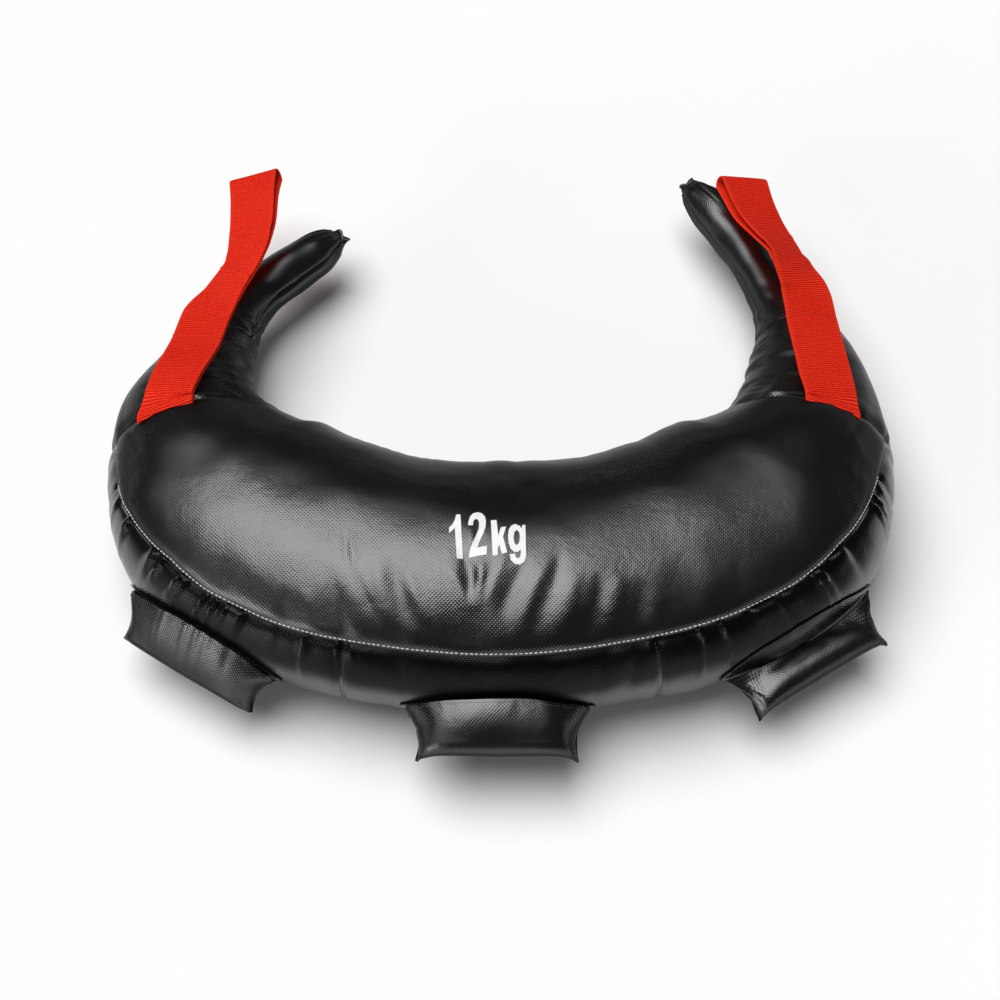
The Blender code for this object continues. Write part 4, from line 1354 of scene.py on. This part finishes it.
@dataclass
class Horn:
    """One horn: its leather sleeve, its stuffing and its gathered end.

    Each row of tip_rings holds how far it stands past the horn's end, its size, how flat it is
    squeezed and how deep its pleats are.
    """

    side: Side
    skin: BodySkin
    end: float = 9.99
    tip_width: float = 0.0175
    tip_thickness: float = 0.0055
    stuffing_depth: float = 0.0085
    tip_rings: tuple = (
        (-0.006, 0.98, 0.0, 0.0), (-0.001, 0.98, 0.0, 0.2), (0.0010, 0.93, 0.10, 0.6),
        (0.0026, 0.84, 0.40, 0.9), (0.0038, 0.76, 0.70, 1.0), (0.0048, 0.70, 0.90, 0.9),
        (0.0058, 0.72, 1.0, 0.9), (0.0068, 0.77, 1.0, 0.8), (0.0074, 0.75, 1.0, 0.6),
        (0.0076, 0.48, 1.0, 0.3))

    def stuffing(self, label: str, node: str, low: float, high: float) -> None:
        """Make a length of wadding inside the horn or its root."""
        station, turn = np.meshgrid(spread(low, high, 30) * self.side.value, around(48), indexing="ij")
        rings = self.skin.relief.form.skin(station, turn, self.stuffing_depth)
        piece = loft(label + self.side.label, rings, self.skin.finishes.wadding)
        self.skin.bend(piece, self.side)
        settle(piece, node=node + self.side.label)

    def tip(self) -> None:
        """Make the gathered, squared end of the horn with its folded raw edge."""
        relief, sign = self.skin.relief, self.side.value
        turns = around(96)
        angle = np.radians(turns)
        end = np.array(self.end * sign)
        values, along = relief.form.spine(end)
        run = np.array((along[0], along[1], 0)) * sign
        out, up, middle = relief.form.outward(end), np.array((0, 0, 1.0)), relief.form.centre(end)
        swell = relief.height(np.full(24, 9.97 * sign), spread(0, FULL_TURN, 23)).mean()
        radius = values[2] + float(swell) - 0.0008
        pleat = np.abs(Lattice(90 + sign).line(turns / 15.0)) - 0.4
        pleat = pleat * ease(np.minimum(turns, FULL_TURN - turns) / 12)
        rings = []
        for ahead, size, flatness, depth in self.tip_rings:
            wide, thick = (radius * size * (1 - flatness) + squeezed / 2 * size * fuller * flatness
                           for squeezed, fuller in ((self.tip_width, 1.25), (self.tip_thickness, 1.3)))
            sway = 1 + depth * 0.16 * pleat
            skew = ahead + 0.0016 * flatness * np.sin(angle * 3 + sign) + 0.0012 * depth * pleat
            rise = thick * sway * np.sin(angle) + 0.0012 * flatness * np.sin(angle * 2 + 1)
            rings.append(middle + run * skew[:, None] + out * (wide * sway * np.cos(angle))[:, None]
                         + up * rise[:, None])
        flat = np.stack(np.meshgrid(np.arange(len(rings)) * 0.002, np.arange(97) * 0.0006,
                                    indexing="ij"), -1)
        piece = loft("horn_end_" + self.side.label, np.array(rings), self.skin.finishes.leather, flat)
        settle(piece, "horn_" + self.side.label, "horn_tip_" + self.side.label)

    def stitching(self) -> None:
        """Sew the horn's lengthwise seam and its cross seam."""
        skin, relief, sign = self.skin, self.skin.relief, self.side.value
        stations = np.linspace(relief.cross_seam + 0.05, 9.8, 500) * sign
        lines = [skin.seam_line(stations, relief.sleeve_seam(stations) - 5.5),
                 skin.seam_line(np.full(300, (relief.cross_seam + 0.07) * sign),
                                np.linspace(0, 358, 300))]
        piece = skin.sewer.sew("stitches_horn_" + self.side.label, lines, StitchKind.FINE,
                               skin.finishes.dark_thread)
        skin.bend(piece, self.side)
        settle(piece)

    def build(self) -> None:
        """Make the horn."""
        skin, relief, label = self.skin, self.skin.relief, self.side.label
        stations = seam_spread(relief.cross_seam + skin.seam_gap, self.end, 78, 0.17)
        sleeve = skin.tube("skin_horn_" + label, "horn_sleeve_" + label, self.side, stations)
        self.stuffing("fill_horn_", "horn_core_", relief.cross_seam + 0.02, 9.8)
        self.stuffing("fill_root_", "horn_root_wadding_", relief.horn_seam + 0.06,
                      relief.cross_seam - 0.02)
        self.tip()
        self.stitching()
        LOG.info("horn %s: 5 pieces", label)


# The webbing loops


@dataclass(frozen=True)
class Crease:
    """A soft fold or a sewn dent across a webbing layer, by its place on the path."""

    place: float
    depth: float
    width: float
    slant: float


@dataclass
class WebbingLoop:
    """One loop: webbing doubled over on itself and sewn into the horn seam."""

    side: Side
    relief: SkinRelief
    finishes: Finishes
    sewer: Seamster
    width: float = 0.045
    thickness: float = 0.0018
    lift: float = 0.0006
    layer_gap: float = 0.0004
    gap: float = 0.010
    shift: float = 0.0015
    open_shares: tuple[float, float] = (0.60, 1.0)
    rib_pitch: float = 0.0022
    rib_depth: float = 0.00026
    tuck: float = 0.0065
    dip: float = 0.0032
    step: float = 0.00055
    left_knots: tuple = (
        (-0.2760, -0.0073, 0.1292, 20.5), (-0.2690, 0.0250, 0.1235, 14.0),
        (-0.2595, 0.0655, 0.1093, 9.7), (-0.2522, 0.1010, 0.1036, 9.8),
        (-0.2403, 0.1278, 0.1010, 27.5), (-0.2248, 0.1632, 0.1004, 33.0),
        (-0.2210, 0.1962, 0.0970, 25.5), (-0.2214, 0.2330, 0.0947, 24.0),
        (-0.2228, 0.2575, 0.0902, 15.0))
    right_knots: tuple = (
        (0.2738, -0.0070, 0.1291, 17.4), (0.2704, 0.0236, 0.1236, 9.5),
        (0.2660, 0.0790, 0.1145, 9.5), (0.2646, 0.1195, 0.1050, 13.0),
        (0.2594, 0.1398, 0.1062, 25.0), (0.2487, 0.1660, 0.1059, 39.0),
        (0.2275, 0.2086, 0.1023, 24.5), (0.2180, 0.2478, 0.0977, 17.0))
    left_creases: tuple = (Crease(2.2, 0.0005, 0.030, 0.0), Crease(4.55, 0.0008, 0.035, 0.16),
                           Crease(5.5, 0.0008, 0.220, -0.3))
    right_creases: tuple = (Crease(2.3, -0.0005, 0.035, 0.05), Crease(5.3, 0.0006, 0.035, 0.10),
                            Crease(4.4, 0.0010, 0.200, 0.3))
    row_gap: float = 0.0026
    knots: Array = field(init=False)
    seam: Array = field(init=False)
    creases: tuple = field(init=False)

    def __post_init__(self) -> None:
        """Work out the path's own points with their rolls, and the seam's direction."""
        form, station = self.relief.form, self.relief.horn_seam * self.side.value
        knots, self.creases = self.right_knots, self.right_creases
        if self.side is Side.LEFT:
            knots, self.creases = self.left_knots, self.left_creases
        self.knots = np.array(knots)
        self.seam = unit(form.skin(station, 96.5) - form.skin(station, 56.5))

    def path(self, place: Array) -> Array:
        """Return points and rolls on the smooth curve, one unit of place per knot."""
        last = len(self.knots) - 1
        k = np.minimum(place.astype(int), last - 1)
        w = (place - k)[:, None]
        start, end = self.knots[k], self.knots[k + 1]
        leave = (end - self.knots[np.maximum(k - 1, 0)]) / 2
        arrive = (self.knots[np.minimum(k + 2, last)] - start) / 2
        point = cubic(start, end, leave, arrive, w)
        point[:, 3] = (start + (end - start) * w)[:, 3]
        return point

    def frames(self, place: Array) -> tuple[Array, Array, Array, Array]:
        """Return the centre, half width, rise and run directions at places on the path."""
        last, sign = len(self.knots) - 1.0, self.side.value
        point = self.path(place)
        ahead = unit((self.path(np.minimum(place + 1 / 3, last))
                      - self.path(np.maximum(place - 1 / 3, 0)))[:, :3])
        level = np.stack([ahead[:, 1], -ahead[:, 0], np.zeros(len(place))], -1)
        tilt = np.radians(point[:, 3:])
        across = unit(level) * -sign * np.cos(tilt) + np.array((0, 0, 1)) * np.sin(tilt)
        across = unit(across - ahead * np.sum(across * ahead, -1, keepdims=True))
        rise = np.cross(across, ahead) * -sign
        facing = np.sum(across * self.seam, -1, keepdims=True)
        sewn = self.seam / np.where(np.abs(facing) < 0.2, 0.2, np.abs(facing))
        share = ease(1 - place[:, None] / 0.4)
        half = (across * (1 - share) + sewn * share) * self.width / 2
        rise = unit(rise - unit(half) * np.sum(rise * unit(half), -1, keepdims=True))
        return point[:, :3], half, rise, ahead

    def strip(self) -> tuple[Array, Array, Array, Array]:
        """Return centres, half widths, outward directions and places along the whole webbing."""
        last = len(self.knots) - 1.0
        coarse = np.linspace(0, last, 2000)
        length = lengths(self.path(coarse)[:, :3])
        near = np.linspace(0, length[-1], int(length[-1] / self.step))
        place = np.interp(near, length, coarse)
        point, half, rise, ahead = self.frames(place)
        point = point - rise * self.dip * (1 - ease(near[:, None] / 0.016))
        bow = np.radians(np.arange(72, 0, -self.step / self.tuck * 57))[:, None]
        point = np.vstack([point[:1] - self.tuck * (ahead[:1] * np.sin(bow)
                                                    + rise[:1] * (1 - np.cos(bow))), point])
        rise = np.vstack([rise[:1] * np.cos(bow) - ahead[:1] * np.sin(bow), rise])
        half = np.vstack([np.repeat(half[:1], len(bow), 0), half])
        place = np.concatenate([np.zeros(len(bow)), place])
        low, high = self.open_shares
        opened = np.clip((place / last - low) / (high - low), 0, 1)[:, None]
        tight = self.layer_gap / 2 + self.thickness / 2
        offset = tight + (self.gap - self.layer_gap) / 2 * opened**1.5
        front = point + rise * offset
        back = point - rise * offset + unit(half) * self.shift * opened**3
        steps = max(int(math.pi * (self.gap + self.thickness) / 2 / self.step), 6)
        turn = (np.arange(1, steps) / steps)[:, None]
        out = rise[-1] * np.cos(turn * np.pi) + ahead[-1] * np.sin(turn * np.pi)
        over = point[-1] + out * (self.gap + self.thickness) / 2 + unit(half[-1]) * self.shift * turn
        centre = np.vstack([front, over, back[::-1]])
        halves = np.vstack([half, np.repeat(half[-1:], steps - 1, 0), half[::-1]])
        places = np.concatenate([place, np.full(len(place) + steps - 1, -9.0)])
        return centre, halves, np.vstack([rise, out, -rise[::-1]]), places

    def section(self) -> tuple[Array, Array]:
        """Return the webbing's section: places across from -1 to 1, and heights from -1 to 1."""
        across = np.sin(np.linspace(-1, 1, 23) * 1.45) / math.sin(1.45)
        height = np.sqrt(np.clip(1 - ((np.abs(across) - 0.955) / 0.045).clip(0, 1) ** 2, 0.0, 1))
        top = np.stack([across, height.clip(0.30)], -1)
        return np.vstack([top, (top * (1, -1))[::-1]]).T

    def build(self) -> None:
        """Make the webbing and its rows of stitches."""
        centre, half, out, places = self.strip()
        across, height = self.section()
        dents = sum(crease.depth * np.exp(-((places[:, None] + crease.slant * across[None, :]
                                             - crease.place) / crease.width) ** 2)
                    for crease in self.creases)
        run = lengths(centre)
        noise = Lattice(70 + self.side.value)
        rib = np.cos(2 * np.pi * run / self.rib_pitch) - 0.4
        selvedge = ease((np.abs(across) - 0.86) / 0.05)
        ribs = self.rib_depth * rib[:, None] * (1 - 0.75 * selvedge)[None, :] * np.sign(height)
        wave = 0.00035 * noise.line(run / 0.024)[:, None] * np.abs(across)[None, :] ** 3
        rise = height[None, :] * self.thickness / 2 + ribs + wave + dents
        pull = 1 - 0.012 * (0.5 + 0.5 * noise.line(run / 0.017 + 30))[:, None]
        rings = (centre[:, None] + half[:, None] * (across[None, :] * pull)[..., None]
                 + out[:, None] * rise[..., None])
        wide = np.concatenate([across, across[:1]]) * self.width / 2
        uv = np.stack(np.broadcast_arrays(wide[None, :], run[:, None]), -1)
        label = self.side.label
        piece = loft("webbing_" + label, rings, self.finishes.webbing, uv)
        settle(piece, "loop_" + label, "strap_" + label)
        self.stitching(centre, half, out, run, places)
        LOG.info("loop %s: webbing %.0f mm long, 2 pieces", label, run[-1] * 1000)

    def stitching(self, centre: Array, half: Array, out: Array, run: Array,
                  places: Array) -> None:
        """Sew both layers together with two rows of stitches across the webbing.

        Args:
            centre: centres along the webbing.
            half: half widths there.
            out: outward directions there.
            run: lengths there.
            places: places on the path there.
        """
        lines, spots = [], np.linspace(-0.9, 0.9, 60)
        far = run[int(np.argmax(places > self.creases[0].place))]
        next_row = far + self.row_gap
        for end in (far, next_row, run[-1] - far, run[-1] - next_row):
            k = int(np.searchsorted(run, end))
            top = centre[k] + half[k] * spots[:, None] + out[k] * (self.thickness / 2 - 0.0003)
            lines.append((top, np.repeat(out[k:k + 1], 60, 0)))
        piece = self.sewer.sew("stitches_loop_" + self.side.label, lines, StitchKind.FINE,
                               self.finishes.red_thread)
        settle(piece, "loop_" + self.side.label)


# The side grips


@dataclass(frozen=True)
class Inflation:
    """Fills a sewn skin with air in Blender's cloth simulation."""

    pressure: float = 4.0
    frames: int = 20
    cap: float = 0.002
    quality: int = 6
    mass: float = 0.3
    stretch: float = 12
    bending: float = 1.5
    shrink: float = -0.008
    smoothings: int = 8

    def swell(self, points: Array, held: Array) -> Array:
        """Return a grid of points after the simulation.

        Args:
            points: rows by columns by 3.
            held: how firmly each point is sewn down, 0 to 1, rows by columns.
        """
        faces, _ = lattice_faces(*points.shape[:2], False)
        item = make_object("swelling", points, faces.tolist(), smooth=False)
        group = item.vertex_groups.new(name="sewn")
        for index, weight in enumerate(held.ravel().tolist()):
            group.add([index], weight, "REPLACE")
        cloth = item.modifiers.new("swell", "CLOTH")
        settings = cloth.settings
        settings.quality, settings.mass = self.quality, self.mass
        settings.tension_stiffness = settings.compression_stiffness = self.stretch
        settings.bending_stiffness = self.bending
        settings.use_pressure, settings.uniform_pressure_force = True, self.pressure
        settings.shrink_min = self.shrink
        settings.vertex_group_mass = "sewn"
        settings.effector_weights.gravity = 0
        cloth.collision_settings.use_collision = False
        scene = bpy.context.scene
        for number in range(1, self.frames + 1):
            scene.frame_set(number)
        graph = bpy.context.evaluated_depsgraph_get()
        moved = np.empty(points.size, np.float32)
        item.evaluated_get(graph).data.vertices.foreach_get("co", moved)
        scene.frame_set(1)
        bpy.data.objects.remove(item, do_unlink=True)
        step = moved.reshape(points.shape).astype(float) - points
        size = np.linalg.norm(step, axis=-1, keepdims=True)
        step = step * np.minimum(1, self.cap / np.maximum(size, TINY))
        for _ in range(self.smoothings):
            step[1:-1] = (step[:-2] + 2 * step[1:-1] + step[2:]) / 4
            step[:, 1:-1] = (step[:, :-2] + 2 * step[:, 1:-1] + step[:, 2:]) / 4
        return points + step


@dataclass
class SideGrip:
    """One side grip: a leather flap sewn to the outer edge round a roll of foam."""

    label: str
    station: float
    droop: float
    lift: float
    relief: SkinRelief
    finishes: Finishes
    sewer: Seamster
    length_out: float = 0.035
    roll: float = 0.028
    base_length: float = 0.146
    outer_length: float = 0.127
    edge_thickness: float = 0.0032
    fold_thickness: float = 0.0028
    ear: float = 0.004
    side_pull: float = 0.006
    seam_turn: float = -7.0
    wall: float = 0.0012
    foam_slack: float = 0.0028
    clearance: float = 0.0004
    flap_gap: float = 0.0005
    band_half: float = 0.010
    band_overhang: float = 0.004
    sag: float = 0.0
    arch: float = 0.0
    arch_lift: float = 0.0012
    bulge: float = 0.0
    band_rise: float = 21.0
    fold_run: tuple[float, float] = (-0.003, 0.007)

    def __post_init__(self) -> None:
        """Work out the hinge and the grip's own directions."""
        form = self.relief.form
        self.foot = form.skin(np.array(self.station), np.array(self.seam_turn))
        self.out = form.outward(np.array(self.station))
        self.along = np.array((-self.out[1], self.out[0], 0))
        self.band_top = self.clearance + self.wall
        steepest = math.radians(max(self.droop, self.lift - self.droop))
        edge = self.fold_thickness / 2
        self.hinge_out = self.band_top + edge * math.sin(steepest) + self.flap_gap
        self.hinge = self.foot + self.out * self.hinge_out
        tilt, up = math.radians(self.droop), np.array((0, 0, 1.0))
        self.length = self.out * math.cos(tilt) - up * math.sin(tilt)
        self.thick = self.out * math.sin(tilt) + up * math.cos(tilt)

    def station_at(self, distance: Array) -> Array:
        """Return the stations whose outer edge lies a distance along the grip from its middle."""
        low = np.full_like(distance, self.station - 2)
        high = np.full_like(distance, self.station + 2)
        for _ in range(40):
            middle = (low + high) / 2
            far = (self.relief.form.skin(middle, self.seam_turn) - self.foot) @ self.along < distance
            low, high = np.where(far, middle, low), np.where(far, high, middle)
        return (low + high) / 2

    def profile(self, points: Array) -> Array:
        """Return points in the grip's section plane: along its length and its thickness."""
        away = points - self.foot
        return np.stack([away @ self.length, away @ self.thick], -1)

    def roll_line(self, share: Array) -> tuple[Array, Array]:
        """Return the roll's centres in the section plane and its radii, at shares along the grip."""
        swell = np.clip(1 - np.abs(share) ** 4, 0, 1) ** 0.5
        radius = (self.edge_thickness + (self.roll - self.edge_thickness) * swell) / 2
        ear = self.ear * np.abs(share) ** 8
        return np.stack([self.length_out - self.hinge_out + ear - radius, -self.sag * swell], -1), radius

    def section(self, share: Array, count: int) -> Array:
        """Return the open sections at shares of the half length, from the upper edge to the lower.

        Args:
            share: places along the grip, -1 to 1.
            count: number of steps round the roll.

        Returns:
            Points, one row for each share.
        """
        centre, radius = self.roll_line(share)
        station = self.station_at(share * self.base_length / 2)
        base = self.profile(self.relief.form.skin(station, self.seam_turn))
        run = centre - base
        size = np.linalg.norm(run, axis=-1, keepdims=True)
        run = run / size
        over = np.stack([-run[:, 1], run[:, 0]], -1)
        touch = np.pi - np.arccos(np.minimum(radius / size[:, 0], 1))
        edge = over * self.fold_thickness / 2
        bow = np.clip(1 - share**2, 0, 1) ** 0.6
        top = base + edge
        if self.arch:
            top = edge + self.profile(self.relief.surface(station, self.seam_turn + self.arch * bow,
                                                          -self.arch_lift * bow))
        far = centre - top
        reach = np.linalg.norm(far, axis=-1)
        facing = np.arctan2(far[:, 1], far[:, 0])
        angle = facing + np.pi / 2 + np.arcsin(np.minimum(radius / reach, 1))
        start = angle - np.arctan2(run[:, 1], run[:, 0])
        angle = start[:, None] + (-touch - start)[:, None] * spread(0, 1, count)[None, :]
        arc = centre[:, None] + radius[:, None, None] * (
            run[:, None] * np.cos(angle)[..., None] + over[:, None] * np.sin(angle)[..., None])
        ramp = spread(0, 1, 12)[:-1, None]
        away = arc[:, 0] - top
        lens = np.stack([-away[:, 1], away[:, 0]], -1) / np.linalg.norm(away, axis=-1, keepdims=True)
        lens = lens[:, None] * self.bulge * (4 * ramp * (1 - ramp)) * bow[:, None, None]
        upper = top[:, None] * (1 - ramp) + arc[:, :1] * ramp + lens
        lower = (base - edge)[:, None] * (1 - ramp) + arc[:, -1:] * ramp
        flat = np.concatenate([upper, arc, lower[:, ::-1]], 1)
        done = np.sum((flat - base[:, None]) * run[:, None], -1) / (size + radius[:, None])
        done = np.clip(done, 0, 1)
        half = (self.base_length * (1 - done) + self.outer_length * done) / 2
        pull = self.side_pull * np.sin(np.pi * done) * np.abs(share)[:, None] ** 4
        return (self.hinge + self.along * (share[:, None] * (half - pull))[..., None]
                + self.length * flat[..., :1] + self.thick * flat[..., 1:])

    def creases(self, grid: Array, share: Array) -> tuple[Array, Array]:
        """Return the sleeve's grid with its puckers and crumpled ends, and its normals.

        Args:
            grid: rows by columns by 3.
            share: each row's place along the grip, -1 to 1.

        Returns:
            The new grid, and the outward directions.
        """
        rows, cols = grid.shape[:2]
        noise, fine = (Lattice(int(seed + self.station * 10)) for seed in (200, 300))
        across = np.linalg.norm(np.diff(grid, axis=1), axis=-1)
        run = np.concatenate([np.zeros((rows, 1)), np.cumsum(across, 1)], 1)
        near = np.minimum(run, run[:, -1:] - run)
        along = (share * self.base_length / 2)[:, None] + 0 * run
        pucker = np.abs(fine.line(along / 0.0062)) - 0.35
        slow = np.abs(noise.line(along / 0.021 + 3)) - 0.3
        rise = 0.0005 * pucker * np.exp(-near / 0.006) + 0.0006 * slow * np.exp(-near / 0.018)
        end = ease((np.abs(share) - 0.72) / 0.28)[:, None]
        crumple = np.abs(noise.plane(run / 0.012 + 7, along / 0.019)) - 0.3
        rise = rise + 0.0014 * end * crumple
        rise = rise + 0.0004 * noise.plane(along / 0.036, run / 0.030)
        rise = rise * ease(near / 0.003)
        normal = unit(np.cross(np.gradient(grid, axis=1), np.gradient(grid, axis=0)))
        centre = rows // 2, cols // 2
        if np.sum(normal[centre] * (grid[centre] - grid.mean((0, 1)))) < 0:
            normal = -normal
        return grid + normal * rise[..., None], normal

    def sew(self, name: str, lines: list[tuple[Array, Array]]) -> Item:
        """Sew the grip's lines of dark stitches."""
        return self.sewer.sew(name + self.label, lines, StitchKind.FINE, self.finishes.dark_thread)

    def band(self) -> None:
        """Make the lens-shaped band on the body, under the grip's sewn edge."""
        relief, form = self.relief, self.relief.form
        share = spread(-1, 1, 120)
        station = self.station_at(share * (self.base_length / 2 + self.band_overhang))
        values, _ = form.spine(station)
        swell = self.band_half * np.sqrt(1 - (1 - 0.09) * share**2)
        reach = np.degrees(np.arcsin(swell / values[:, 3]))
        bow = self.band_rise * np.clip(1 - share**2, 0, 1) ** 0.6
        turn = self.seam_turn - reach[:, None] + spread(0, 1, 22)[None, :] * (reach * 1.3 + bow)[:, None]
        station = np.broadcast_to(station[:, None], turn.shape)
        outer = relief.surface(station, turn, -self.band_top)
        inner = relief.surface(station, turn, -self.clearance)
        piece = shell("band_" + self.label, outer, inner, form.strip(station, turn), False,
                      self.finishes.side_leather)
        settle(piece, "bag", "grip_band_" + self.label)
        normal = form.normal(station, turn)
        lines = [(outer[2:-2, column], normal[2:-2, column]) for column in (1, -2)]
        settle(self.sew("stitches_band_", lines), "bag")

    def bend(self, piece: Item) -> None:
        """Bake a piece's transform into its mesh."""
        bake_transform(piece)

    def core(self) -> None:
        """Make the foam roll inside the sleeve."""
        share = spread(-0.86, 0.86, 40)
        place, radius = self.roll_line(share)
        centre = (self.hinge + self.length * place[:, :1] + self.thick * place[:, 1:]
                  + self.along * (share * self.outer_length / 2)[:, None])
        size = (radius - self.wall - self.foam_slack)[:, None, None]
        angle = np.radians(around(36))[:, None]
        ring = self.length * np.cos(angle) + self.thick * np.sin(angle)
        piece = loft("foam_" + self.label, centre[:, None] + ring[None] * size, self.finishes.foam)
        settle(piece, "grip_" + self.label, "grip_core_" + self.label)

    def build(self) -> None:
        """Make the grip."""
        share = np.sin(np.linspace(-1, 1, 97) * 1.35) / math.sin(1.35)
        grid = self.section(share, 24)
        held = np.ones(grid.shape[:2])
        held[2:-2, 2:-2] = 0
        outer, normals = self.creases(Inflation().swell(grid, held), share)
        run = lengths(outer[len(share) // 2])
        uv = np.stack(np.broadcast_arrays((share * self.base_length / 2)[:, None], run[None, :]), -1)
        sleeve = shell("sleeve_" + self.label, outer, outer - normals * self.wall, uv, False,
                       self.finishes.leather)
        self.bend(sleeve)
        settle(sleeve, node="grip_sleeve_" + self.label)
        self.core()
        lines = [(outer[3:-3, column], normals[3:-3, column]) for column in (1, -2)]
        lines += [(outer[row, 4:-4], normals[row, 4:-4]) for row in (3, -4)]
        seams = self.sew("stitches_sleeve_", lines)
        self.bend(seams)
        settle(seams)
        self.band()
        LOG.info("grip %s: 5 pieces", self.label)


# The studio


@dataclass
class Studio:
    """A pale floor, soft lamps and the camera at the photograph's angle."""

    target: tuple[float, float, float] = (0.0001, -0.0900, 0.070)
    elevation: float = 60.0
    distance: float = 1.6
    lens: float = 69.7
    shift: tuple[float, float] = (-0.001, 0.025)
    floor_reach: float = 30.0
    sky: float = 0.07
    lamps: tuple = (("lamp_overhead", (-0.25, 0.12, 0.96), 3.05, 53),
                    ("lamp_side", (-0.76, -0.62, 0.16), 1.0, 30))

    def camera(self) -> None:
        """Place the camera."""
        data = bpy.data.cameras.new("camera")
        data.sensor_width, data.lens = 36, self.lens
        data.shift_x, data.shift_y = self.shift
        item = bpy.data.objects.new("camera", data)
        bpy.context.scene.collection.objects.link(item)
        angle = math.radians(self.elevation)
        back = Vector((0, -math.cos(angle), math.sin(angle)))
        item.location = Vector(self.target) + back * self.distance
        item.rotation_euler = back.to_track_quat("Z", "Y").to_euler()
        bpy.context.scene.camera = item

    def lamp(self, name: str, towards: Sequence[float], strength: float, angle: float) -> None:
        """Add a far soft lamp that shines from a direction.

        Args:
            name: the lamp's name.
            towards: where it stands, seen from the bag.
            strength: its strength.
            angle: its apparent size in degrees.
        """
        data = bpy.data.lights.new(name, "SUN")
        data.energy, data.angle = strength, math.radians(angle)
        item = bpy.data.objects.new(name, data)
        item.rotation_euler = Vector(towards).to_track_quat("Z", "Y").to_euler()
        bpy.context.scene.collection.objects.link(item)

    def floor(self) -> None:
        """Make the pale floor."""
        graph = Graph("pale_floor")
        speck = graph.noise(3.0, 3, graph.place("Object"))
        graph.shade("Base Color", graph.blend(speck, (0.93,) * 3, (0.95,) * 3))
        graph.shade("Roughness", 0.9)
        graph.shade("Specular IOR Level", 0.1)
        corners = np.array(((-1, -1, 0), (1, -1, 0), (1, 1, 0), (-1, 1, 0))) * self.floor_reach
        make_object("studio_floor", corners, [(0, 1, 2, 3)], graph.material, smooth=False)

    def world(self) -> None:
        """Set an even, dim sky that looks white where the camera sees it."""
        world = bpy.data.worlds.new("studio_sky")
        world.use_nodes = True
        kit, sky = NodeKit(world.node_tree), world.node_tree.nodes["Background"]
        seen = kit.add("ShaderNodeLightPath").outputs["Is Camera Ray"]
        shown = kit.add("ShaderNodeMapRange", Value=seen, To_Min=self.sky, To_Max=1.0)
        kit.feed(sky, "Color", (1, 1, 1, 1))
        kit.feed(sky, "Strength", shown.outputs["Result"])
        bpy.context.scene.world = world

    def build(self) -> None:
        """Set up the floor, the lamps, the camera and the picture's settings."""
        self.camera()
        self.floor()
        self.world()
        for values in self.lamps:
            self.lamp(*values)
        bpy.context.scene.view_settings.view_transform = "Standard"
        LOG.info("studio: floor, sky, 2 lamps and camera")


def main() -> None:
    """Build the dressed bag and its studio."""
    logging.basicConfig(level=logging.INFO, format="%(message)s")
    form = CrescentForm()
    relief = SkinRelief(form)
    finishes, sewer = Finishes(), Seamster()
    Studio().build()
    skin = BodySkin(relief, finishes, sewer)
    skin.build()
    Filling(form, finishes).build()
    WeightMark(relief, finishes).build()
    for side in Side:
        Horn(side, skin).build()
        WebbingLoop(side, relief, finishes, sewer).build()
    grips = (SideGrip("left", -2.40, 58, 75, relief, finishes, sewer, length_out=0.0305,
                      roll=0.0240, sag=-0.0045, arch=23, bulge=0.0016, band_rise=17),
             SideGrip("middle", -0.03, 30, 60, relief, finishes, sewer, length_out=0.033,
                      roll=0.026, sag=-0.014, ear=0.006, arch=20, bulge=0.0020,
                      band_rise=14),
             SideGrip("right", 2.40, 36, 75, relief, finishes, sewer))
    for grip in grips:
        grip.build()


if __name__ == "__main__":
    main()
